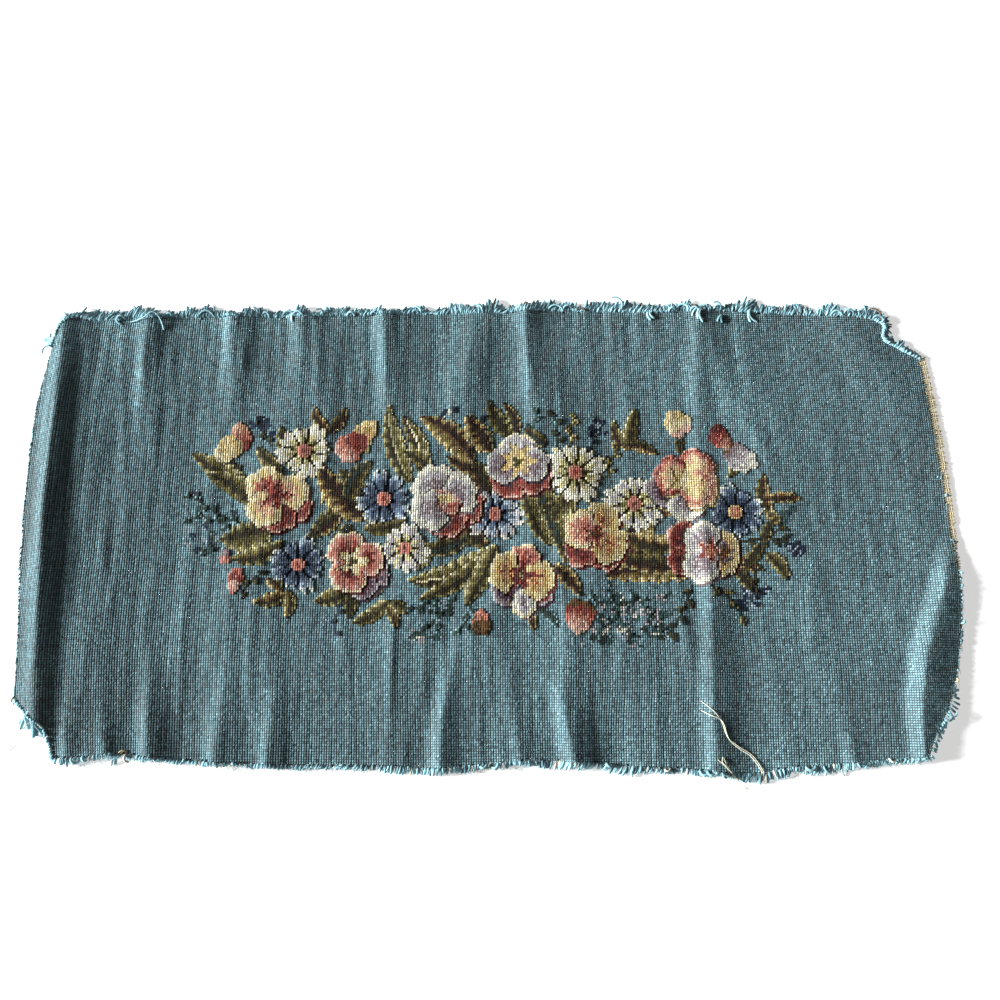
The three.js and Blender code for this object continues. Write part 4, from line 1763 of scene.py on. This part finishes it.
    def _round(self, piece: Object) -> None:
        """Lets the flat pads take the light as plump ones do, by the directions given to their corners.

        Args:
            piece: The block of stitches.
        """
        facing = np.zeros(len(piece.data.vertices) * 3, np.float32)
        piece.data.attributes[FACING_ATTRIBUTE].data.foreach_get("vector", facing)
        facing = facing.reshape(-1, 6, 3)
        stitches = Piece.points(piece).reshape(-1, 6, 3)
        middle = stitches[:, :4].mean(axis=1, keepdims=True)
        spread = (stitches - middle) / (PITCH * MM / 2)
        spread[..., 2] = 0
        normals = facing + spread * np.array([*self.plumpness, 0])
        normals[:, 4:] = -facing[:, 4:]
        normals /= np.linalg.norm(normals, axis=-1, keepdims=True)
        Piece.smooth(piece.data)
        piece.data.normals_split_custom_set_from_vertices(normals.reshape(-1, 3).tolist())


@dataclass
class Strands:
    """Yarn ends and threads, drawn as lines and given their thickness by a tree."""

    name: str
    cloth: LyingCloth
    # The sides of each strand's section
    sides: int = 5
    # Each strand's line in millimetres on the table, and its radius and its shade at each point of it
    lines: list[Array] = field(default_factory=list)
    radii: list[Array] = field(default_factory=list)
    lights: list[Array] = field(default_factory=list)

    def add(self, flat: Array, height: Array, radii: Array | float, light: Array) -> None:
        """Adds a strand.

        Args:
            flat: The line's places on the table.
            height: Its height over the table.
            radii: Its radius, or one for each point.
            light: Its shade, or one for each point.
        """
        self.lines.append(np.column_stack([flat, height]))
        self.radii.append(np.broadcast_to(radii, (len(flat),)))
        self.lights.append(np.broadcast_to(light, (len(flat), 3)))

    def tree(self, material: Material) -> NodeTree:
        """The tree that gives each line its thickness.

        Args:
            material: The strands' finish.

        Returns:
            The tree.
        """
        tree = NodeTree("strands", {"Sides": ("NodeSocketInt", self.sides), "Girth": ("NodeSocketFloat", MM)})
        thick = tree.attribute(THICK_ATTRIBUTE, Kind.FLOAT)
        curve = tree.node("GeometryNodeMeshToCurve", {}, {"Mesh": tree.given["Geometry"]})
        sized = tree.node("GeometryNodeSetCurveRadius", {}, {"Curve": curve.outputs[0], "Radius": thick})
        ring = tree.node("GeometryNodeCurvePrimitiveCircle", {}, {
            "Resolution": tree.given["Sides"], "Radius": tree.given["Girth"],
        })
        tube = tree.node("GeometryNodeCurveToMesh", {}, {
            "Curve": sized.outputs[0], "Profile Curve": ring.outputs[0], "Fill Caps": True, "Scale": thick,
        })
        tree.close(tube.outputs[0], material)
        return tree

    def build(self, material: Material) -> Object:
        """Builds the strands as one plain mesh.

        Args:
            material: Their finish.

        Returns:
            The piece.
        """
        starts = np.cumsum([0, *(len(line) for line in self.lines)])
        edges = [(k, k + 1) for first, end in zip(starts, starts[1:]) for k in range(first, end - 1)]
        points = self.cloth.place(np.vstack(self.lines))
        piece = Piece.from_arrays(self.name, points, np.zeros((0, 3), int), edges)
        Piece.set_values(piece, THICK_ATTRIBUTE, Kind.FLOAT, np.concatenate(self.radii))
        Piece.set_colours(piece, np.vstack(self.lights))
        self.tree(material).put_on(piece)
        piece = Piece.settle(piece)
        Piece.smooth(piece.data)
        return piece


# How a wool end's radius changes on its way, as shares.
YARN_SWELL = np.array([0.2, 0.9, 1.05, 1.0, 1.05, 1.05, 0.92])


def yarn_path(root: Array, heading: float, bend: float, length: float) -> Array:
    """The way of a wool end over the table, as one even turn.

    Args:
        root: Where it starts.
        heading: The way it sets out, in radians.
        bend: How far it turns on its way, in radians.
        length: Its length.

    Returns:
        Its points, one for each share of YARN_SWELL.
    """
    count = len(YARN_SWELL) - 1
    headings = heading + bend * np.arange(count) / count
    steps = np.column_stack([np.cos(headings), np.sin(headings)]) * length / count
    return root + np.vstack([np.zeros(2), np.cumsum(steps, axis=0)])


@dataclass(frozen=True)
class YarnFringe:
    """The cut wool ends along a run of edge: short, soft and uneven."""

    name: str
    side: Side
    # The distance from one end to the next, their length on the whole, and the wool's radius
    spacing: float
    reach: float
    radius: float
    # How many ends lie over each other, and the share of them that curl back over the cloth
    layers: int
    curl: float
    seed: int
    # The ends' length along the run, as rows of share and factor
    rows: tuple[Pair, ...]
    # How far all of them lean along the run, in radians
    sweep: float = 0.0
    # The share of the ends that are odd threads, and their shade
    bare: float = 0.05
    odd: Yarn = Yarn.CREAM
    # How much paler the ends are painted at their roots than at their tips: painted light that lifts the
    # shade at the roots, and, where it is below 0, painted light on the tips instead
    painted_root_light: float = 0.0
    # The shortest end that is kept
    shortest: float = 0.8

    def strands(self, cloth: LyingCloth) -> Strands:
        """Draws the wool ends.

        Args:
            cloth: The shape in which the cloth lies.

        Returns:
            The strands.
        """
        random = default_rng(self.seed)
        strands = Strands(self.name, cloth, sides=4)
        run, out = cut_edge(self.side, self.spacing)
        tufts = evened(blurred(random.random((1, len(run))), 2.4, 1)[0])
        leans = blurred(random.normal(size=(1, len(run))), 3.0, 1)[0] * 1.6
        factors = np.interp(np.arange(len(run)) / (len(run) - 1), *np.array(self.rows).T) * (1 + 0.24 * tufts)
        for root, way, factor, lean in zip(run, out, factors, leans):
            for layer in range(self.layers):
                length = self.reach * factor * random.uniform(0.78, 1.08) * (1 - 0.18 * layer)
                if length >= self.shortest:
                    self._end(strands, random, root, way, length, lean, layer)
        return strands

    def _end(
        self,
        strands: Strands,
        random: Generator,
        root: Array,
        out: Array,
        length: float,
        lean: float,
        layer: int,
    ) -> None:
        """Draws one wool end.

        Args:
            strands: The strands to add it to.
            random: What its unevenness is drawn from.
            root: Its place on the edge.
            out: The way out of the cloth there.
            length: Its length.
            lean: How far the ends here lean to their left.
            layer: How many ends lie under it.
        """
        looped = random.random() < self.curl
        heading = math.atan2(out[1], out[0]) + self.sweep + 0.45 * lean + random.normal(0, 0.14)
        bend = random.choice((-2.6, 2.6)) if looped else 0.25 * lean + random.normal(0, 0.22)
        inset = random.uniform(0.1, 0.9)
        aside = left_of(out) * random.uniform(-0.5, 0.5) * self.spacing
        flat = yarn_path(root + aside - out * inset, heading, bend, length * (1.5 if looped else 1) + inset)
        t = np.linspace(0, 1, len(flat))
        lift = strands.cloth.lift(*flat.T)
        radius = self.radius * random.uniform(0.75, 1.2) * YARN_SWELL
        hold = np.clip(1.2 - t * 0.8, 0, 1)
        arch = random.uniform(0.3, 1.1) * np.sin(np.pi * np.clip(t * 1.05, 0, 1))
        height = radius + hold * (lift + 0.7 + 0.35 * layer) + arch
        if looped:
            height = lift + 1.9 + radius + 1.6 * np.sin(np.pi * t * 0.9)
        # Painted light along the end: on its root where the setting is above 0, on its tip where it is below
        dye = np.clip(random.normal(0.35, 0.38), -0.4, 1.3) + self.painted_root_light * (0.5 - t)
        light = Yarn.GROUND_PALE.light * (1 + dye)[:, None] * np.array([0.92, 1.0, 1.03])
        if random.random() < self.bare:
            light = self.odd.light * (0.8 + 0.5 * dye)[:, None]
            radius = radius * 0.7
        strands.add(flat, height, radius, light)


FRINGES = (
    YarnFringe(
        "frayed_top", Side.TOP, 1.35, 8.4, 0.86, 3, 0.018, 3,
        ((0, 0.8), (0.05, 1.0), (0.2, 1.1), (0.33, 1.05), (0.45, 1.15), (0.6, 0.9), (0.93, 1.25), (1, 0.9)),
        sweep=-0.36, bare=0.04, odd=Yarn.BRONZE, painted_root_light=0.5,
    ),
    YarnFringe(
        "frayed_bottom", Side.BOTTOM, 2.1, 4.6, 1.0, 2, 0.02, 4,
        ((0, 0.5), (0.05, 0.4), (0.09, 1.1), (0.3, 0.85), (0.5, 0.95), (0.78, 1.25), (0.9, 1.15), (1, 0.9)),
        sweep=-0.3, bare=0.12, odd=Yarn.WHITE, painted_root_light=-0.5,
    ),
    YarnFringe(
        "frayed_left", Side.LEFT, 2.0, 2.0, 0.6, 1, 0.0, 6,
        ((0, 0.9), (0.5, 0.8), (1, 1.2)), sweep=1.05, bare=0.1,
    ),
    YarnFringe(
        "frayed_right", Side.RIGHT, 2.4, 4.5, 0.85, 1, 0.1, 8,
        ((0, 1.0), (0.06, 1.4), (0.12, 2.0), (0.17, 1.2), (0.21, 0.5), (0.45, 0.35), (0.55, 0.0), (1, 0.0)),
    ),
)


@dataclass(frozen=True)
class Tuft:
    """A few wool ends that stand out of the edge together, or curl over the cloth."""

    # Where they start on the table, and the way they point, in degrees anticlockwise from the right
    at: Pair
    heading: float
    count: int
    reach: float
    radius: float
    # How far each turns on its way, in degrees
    bend: float
    shade: Shade
    on_cloth: bool = False
    # How far apart in degrees they point, and their roots' height over the lying shape
    fan: float = 14
    rise: float = 1.6

    def draw(self, strands: Strands, random: Generator) -> None:
        """Draws the ends.

        Args:
            strands: The strands to add them to.
            random: What their unevenness is drawn from.
        """
        for number in range(self.count):
            fan = (number - (self.count - 1) / 2) * self.fan
            heading = math.radians(self.heading + fan + random.normal(0, 6))
            bend = math.radians(self.bend * random.uniform(0.6, 1.3))
            root = np.array(self.at) + random.normal(0, 0.9, 2)
            flat = yarn_path(root, heading, bend, self.reach * random.uniform(0.75, 1.15))
            t = np.linspace(0, 1, len(flat))
            lift = strands.cloth.lift(*flat.T)
            radius = self.radius * YARN_SWELL
            height = lift + self.rise + radius + 0.5 * np.sin(np.pi * t)
            if not self.on_cloth:
                height = radius + (lift + self.rise) * (1 - t) ** 1.4 + 0.7 * np.sin(np.pi * t)
            strands.add(flat, height, radius, colour(self.shade) * random.uniform(0.75, 1.1))


PALE_WOOL = (164, 204, 212)
DEEP_WOOL = (112, 150, 158)
CANVAS_SHADE = (176, 162, 130)

TUFT_SEED = 19
# The tufts that stand out in the photo
TUFTS = (
    Tuft((-336, -137), 246, 5, 13, 1.4, 16, PALE_WOOL),
    Tuft((-329, -143), 282, 5, 12, 1.4, -16, DEEP_WOOL),
    Tuft((340, -120), -35, 4, 8, 0.85, 20, PALE_WOOL),
    Tuft((334, -135), -30, 4, 8, 0.85, -20, PALE_WOOL),
    Tuft((326, -146), -35, 5, 10, 0.85, 25, PALE_WOOL),
    Tuft((351, 40), 30, 3, 4, 0.5, 40, PALE_WOOL),
    Tuft((353, 26), 15, 3, 5, 0.5, 40, PALE_WOOL),
    Tuft((354, -9), -10, 4, 5.5, 0.5, 30, PALE_WOOL),
    Tuft((-157, 178), -140, 2, 10, 1.0, 130, PALE_WOOL, True),
    Tuft((174, 183), 200, 4, 14, 0.8, 140, PALE_WOOL, True),
    Tuft((190, 176), 215, 2, 8, 1.0, 90, DEEP_WOOL, True),
    Tuft((212, 182), 230, 4, 12, 0.8, 100, PALE_WOOL, True),
    Tuft((130, 180), -110, 2, 8, 1.0, 100, PALE_WOOL, True),
    Tuft((-300, 175), -100, 2, 8, 0.9, 100, DEEP_WOOL, True),
    Tuft((-339, 170), 125, 6, 10, 1.0, 12, PALE_WOOL),
    Tuft((-344, 165), 150, 5, 9, 1.0, 12, PALE_WOOL),
    Tuft((-349, 154), 195, 4, 7, 0.9, 12, PALE_WOOL),
    Tuft((258, -174), -80, 3, 8, 0.7, 60, PALE_WOOL),
    Tuft((-272, -166), -60, 3, 9, 0.8, -60, PALE_WOOL),
    Tuft((-262, -166), 100, 2, 8, 0.5, 200, CANVAS_SHADE, True),
)


@dataclass(frozen=True)
class Fuzz:
    """The finest broken fibres and canvas threads that stand out of the cut edges."""

    # For each kind, its run of edge, how many there are to the millimetre, their length, radius and shade
    rows: tuple[tuple[Side, float, float, float, Shade], ...] = (
        (Side.TOP, 0.5, 7.0, 0.14, (120, 150, 156)),
        (Side.BOTTOM, 0.5, 7.0, 0.14, (120, 150, 156)),
        (Side.BOTTOM, 0.14, 6.0, 0.24, (206, 190, 156)),
        (Side.TOP, 0.05, 5.0, 0.22, (196, 180, 146)),
        (Side.LEFT, 0.12, 2.4, 0.2, (196, 176, 134)),
        (Side.RIGHT, 0.35, 4.0, 0.16, (176, 150, 108)),
    )
    # How a fibre's radius changes on its way, as shares
    taper: tuple[float, ...] = (1, 1, 0.9, 0.8, 0.5)
    seed: int = 77

    def strands(self, cloth: LyingCloth) -> Strands:
        """Draws the fibres.

        Args:
            cloth: The shape in which the cloth lies.

        Returns:
            The strands.
        """
        random = default_rng(self.seed)
        strands = Strands("loose_fibres", cloth, sides=3)
        t = np.linspace(0, 1, len(self.taper))
        for side, density, reach, radius, shade in self.rows:
            run, out = cut_edge(side, 1.0)
            for number in np.flatnonzero(random.random(len(run)) < density):
                length = reach * random.uniform(0.4, 1.5)
                bend = random.normal(0, 0.6) * t + random.normal(0, 0.5) * t * t
                flat = run[number] + np.outer(length * t - 0.6, out[number])
                flat += np.outer(length * bend, left_of(out[number]))
                rest = (cloth.lift(*flat.T) + 1.1) * (1 - t) ** 1.5
                height = rest + radius + random.uniform(0.1, 1.6) * np.sin(np.pi * t)
                light = colour(shade) * random.uniform(0.75, 1.2)
                strands.add(flat, height, radius * np.array(self.taper), light)
        return strands


@dataclass(frozen=True)
class CanvasMargin:
    """The bare canvas along the right edge: its long threads, its cross threads and their cut ends."""

    # The canvas thread's radius, the threads' height over the lying shape, and the weave's own height
    radius: float = 0.56
    rise: float = 1.25
    weave: float = 0.14
    # How many long threads there are at most, and how far apart they lie, as a share of the pitch
    threads: int = 4
    closeness: float = 0.92
    # How far in under the stitches a cross thread starts
    inset: float = 1.4
    # The margin's width along the run, as rows of share and width
    rows: tuple[Pair, ...] = (
        (0, 0.6), (0.18, 0.6), (0.4, 1.0), (0.5, 2.0), (0.58, 4.4), (0.7, 5.2), (0.9, 5.4), (1, 4.4),
    )
    seed: int = 31

    def strands(self, cloth: LyingCloth) -> Strands:
        """Draws the threads.

        Args:
            cloth: The shape in which the cloth lies.

        Returns:
            The strands.
        """
        random = default_rng(self.seed)
        strands = Strands("canvas_margin", cloth)
        run, out = cut_edge(Side.RIGHT, PITCH)
        numbers = np.arange(len(run))
        width = np.interp(np.linspace(0, 1, len(run)), *np.array(self.rows).T)
        tan = colour(CANVAS_SHADE)
        for number in range(self.threads):
            off = 0.5 + number * PITCH * self.closeness
            shown = np.flatnonzero(width > off + 0.3)
            if len(shown) < 4:
                continue
            wave = 0.25 * np.sin(numbers * 1.7 + number) + 0.12 * random.normal(size=len(run))
            flat = run + out * (off + wave)[:, None]
            height = cloth.lift(*flat.T) * 0.9 + self.rise + self.weave * np.cos(numbers * np.pi)
            part = slice(shown[0], shown[-1] + 1)
            strands.add(flat[part], height[part], self.radius, tan * random.uniform(0.85, 1.1))
        t = np.linspace(0, 1, 6)
        for number in numbers:
            reach = width[number] * random.uniform(0.85, 1.12) + random.uniform(0, 1.3)
            lean = random.normal(0, 0.1) + (0.25 * random.normal() if random.random() < 0.2 else 0)
            flat = run[number] + np.outer(reach * t - self.inset * (1 - t), out[number])
            flat += np.outer(reach * lean * t * t, left_of(out[number]))
            weave = self.weave * np.cos(number * np.pi + t * reach / PITCH * np.pi)
            height = cloth.lift(*flat.T) * (1 - 0.3 * t) + self.rise - weave
            strands.add(flat, height, self.radius * 0.9, tan * random.uniform(0.75, 1.15))
        return strands


# The loose threads: the radius, the shade, and the line that each follows as x, y and height over the cloth
LOOSE_THREADS = (
    (0.24, (238, 230, 208), (
        (201, -184.8, -1.2), (200.4, -183.4, 0.6), (191.8, -169.4, 1.0), (182, -162.7, 0.6),
        (175.1, -156, 0.9), (170.7, -143.6, 1.0), (163, -139.6, 1.3), (156.4, -136.1, 0.6),
    )),
    (0.24, (232, 222, 196), (
        (202, -184.4, -1.2), (201.2, -182.6, 0.8), (192.9, -168.6, 0.8), (182.4, -161.7, 1.0),
        (174.6, -155.2, 0.6), (170, -143.2, 0.8), (165, -136.8, 1.0), (156.7, -129.3, 0.4),
    )),
    (0.22, (236, 228, 206), (
        (189.6, -193, -1.5), (188.3, -191.7, -0.6), (179.3, -184, 0.9), (173, -177, 1.2),
        (166.3, -170.8, 0.5),
    )),
    (0.22, (228, 218, 190), (
        (188.4, -193.6, -1.5), (187.4, -191.9, -0.5), (178.8, -183.2, 1.2), (172.6, -174.8, 1.0),
        (170.7, -169.4, 0.5),
    )),
    (0.2, (236, 228, 206), (
        (187.6, -191.6, -0.4), (179.3, -184.6, 1.4), (174.6, -182.4, 1.2), (169.3, -182, 0.8),
    )),
    (0.2, (236, 228, 206), ((172.4, -175.4, 1.2), (169.2, -172.4, 1.4), (169.8, -168.8, 0.8))),
    (0.5, (176, 214, 222), (
        (-290, 169.5, 1.2), (-284, 170.5, 1.8), (-277, 172.5, 2.4), (-271.5, 176.4, 2.8), (-268, 175.4, 2.8),
        (-264.5, 170, 1.8), (-262.2, 163, 0.8),
    )),
    (0.25, (150, 140, 112), (
        (-331, -144, -0.9), (-336, -146.5, -0.4), (-344, -156, -0.9), (-350.5, -165, -1.2),
    )),
)


@dataclass(frozen=True)
class LooseThreads:
    """The sewing threads and the stray wool that lie on the cloth."""

    # The height of the cloth's upper face over the lying shape, and the floor's least gap under a thread
    top: float = 1.75
    gap: float = 0.05

    def strands(self, cloth: LyingCloth) -> Strands:
        """Draws the threads.

        Args:
            cloth: The shape in which the cloth lies.

        Returns:
            The strands.
        """
        strands = Strands("loose_threads", cloth, sides=6)
        for radius, shade, rows in LOOSE_THREADS:
            line = smooth_line(np.array(rows, float), 1.2)
            flat = line[:, :2]
            height = np.maximum(cloth.lift(*flat.T) + self.top + line[:, 2], radius + self.gap)
            strands.add(flat, height, radius, colour(shade))
        return strands


@dataclass(frozen=True)
class Studio:
    """The floor, the lights and the camera."""

    # The camera's focal length in picture widths, its tilt from straight down, and its distance
    focal: float = 0.9
    tilt: float = 13.0
    away: float = 699.0
    # The point of the row's frame that the picture's middle shows
    aim: Pair = (10.2, 23.0)
    sensor: float = 36.0
    # The main light's strength, the way it comes from, its colour, and its width in degrees
    key: float = 14.4
    key_from: Triple = (-1.76, 0.08, 0.49)
    key_colour: Triple = (0.94, 1.0, 1.0)
    key_spread: float = 14.0
    # The brightness and the colour of the light from all round
    fill: float = 0.16
    fill_colour: tuple[float, float, float, float] = (1.0, 0.96, 0.93, 1.0)
    # The floor's reach to each side, in metres
    floor: float = 6.0

    def build(self) -> None:
        """Builds the stage."""
        self._floor()
        self._camera()
        self._lights()

    def _floor(self) -> None:
        """A wide pale floor."""
        corners = np.array([(-1, -1, 0), (1, -1, 0), (1, 1, 0), (-1, 1, 0)]) * self.floor
        floor = Piece.from_arrays("floor", corners, [(0, 1, 2, 3)])
        floor.data.materials.append(FloorFinish().make())

    def _camera(self) -> None:
        """The camera, above the cloth and a little towards its lower edge."""
        data = bpy.data.cameras.new("camera")
        data.sensor_width = self.sensor
        data.lens = self.focal * self.sensor
        data.clip_start = 0.01
        camera = Piece.link("camera", data)
        tilt = math.radians(self.tilt)
        back, up = self.away * math.sin(tilt), self.away * math.cos(tilt)
        camera.location = (self.aim[0] * MM, (self.aim[1] - back) * MM, up * MM)
        camera.rotation_euler = (tilt, 0, 0)
        bpy.context.scene.camera = camera

    def _lights(self) -> None:
        """One low light from the left, and an even fill."""
        data = bpy.data.lights.new("key", "SUN")
        data.energy = self.key
        data.angle = math.radians(self.key_spread)
        data.color = self.key_colour
        key = Piece.link("key", data)
        key.rotation_euler = (-Vector(self.key_from)).to_track_quat("-Z", "Y").to_euler()
        world = bpy.data.worlds.new("studio")
        world.use_nodes = True
        background = world.node_tree.nodes["Background"].inputs
        background["Color"].default_value = self.fill_colour
        background["Strength"].default_value = self.fill
        bpy.context.scene.world = world
        bpy.context.scene.view_settings.view_transform = "Standard"


class Needlepoint:
    """The whole panel: its cloth, its design, its stitches and its frayed edges."""

    def __init__(self) -> None:
        """Works out the lying shape and the design, and makes the finishes."""
        self.cloth = LyingCloth()
        self.chart = self._design()
        self.wool = wool("tent_stitch_wool", 2600, 0.00009, 0.35, 0.0).make()
        self.fringe_wool = wool("frayed_wool", 2200, 0.00014, 0.5, 0.2).make()
        self.canvas = CanvasBackFinish("canvas_back", PITCH * MM).make()
        self.thread = THREAD.make()

    @staticmethod
    def _design() -> Chart:
        """Draws the spray on the chart.

        Returns:
            The chart, with the spray on it from its back to its front.
        """
        chart = Chart()
        for motif in (*SPRIGS, *POSIES, *LEAVES, *BUDS, *DAISIES, *PANSIES):
            motif.draw(chart)
        return chart

    def _tufts(self) -> Object:
        """Builds the tufts that stand out.

        Returns:
            The tufts, as one piece.
        """
        strands = Strands("edge_tufts", self.cloth)
        random = default_rng(TUFT_SEED)
        for tuft in TUFTS:
            tuft.draw(strands, random)
        return strands.build(self.fringe_wool)

    def build(self) -> None:
        sheet = BaseCloth(self.cloth, self.chart).build(self.canvas)
        stitches = TentStitches(self.cloth, self.chart).build(self.wool)
        fringes = [fringe.strands(self.cloth).build(self.fringe_wool) for fringe in FRINGES]
        works = (CanvasMargin(), Fuzz(), LooseThreads())
        canvas = [work.strands(self.cloth).build(self.thread) for work in works]
        tufts = self._tufts()
        slots = {
            "worked_wool": [sheet, *stitches],
            "frayed_wool": [*fringes, tufts],
            "bare_canvas": canvas,
        }
        for slot, pieces in slots.items():
            for piece in pieces:
                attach(piece, BODY)
                LOG.info("%s: %d faces, on %s", piece.name, len(piece.data.polygons), BODY)
        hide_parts(PANEL_NODE)
        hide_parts("fringe_top")
        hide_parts("fringe_bottom")
        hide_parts("frayed_edge_left")
        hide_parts("canvas_margin_right")
        extent, area = self.cloth.sizes()


def main() -> None:
    """Builds the panel and the stage."""
    logging.basicConfig(level=logging.INFO, format="%(name)s: %(message)s")
    Needlepoint().build()
    Studio().build()


if __name__ == "__main__":
    main()
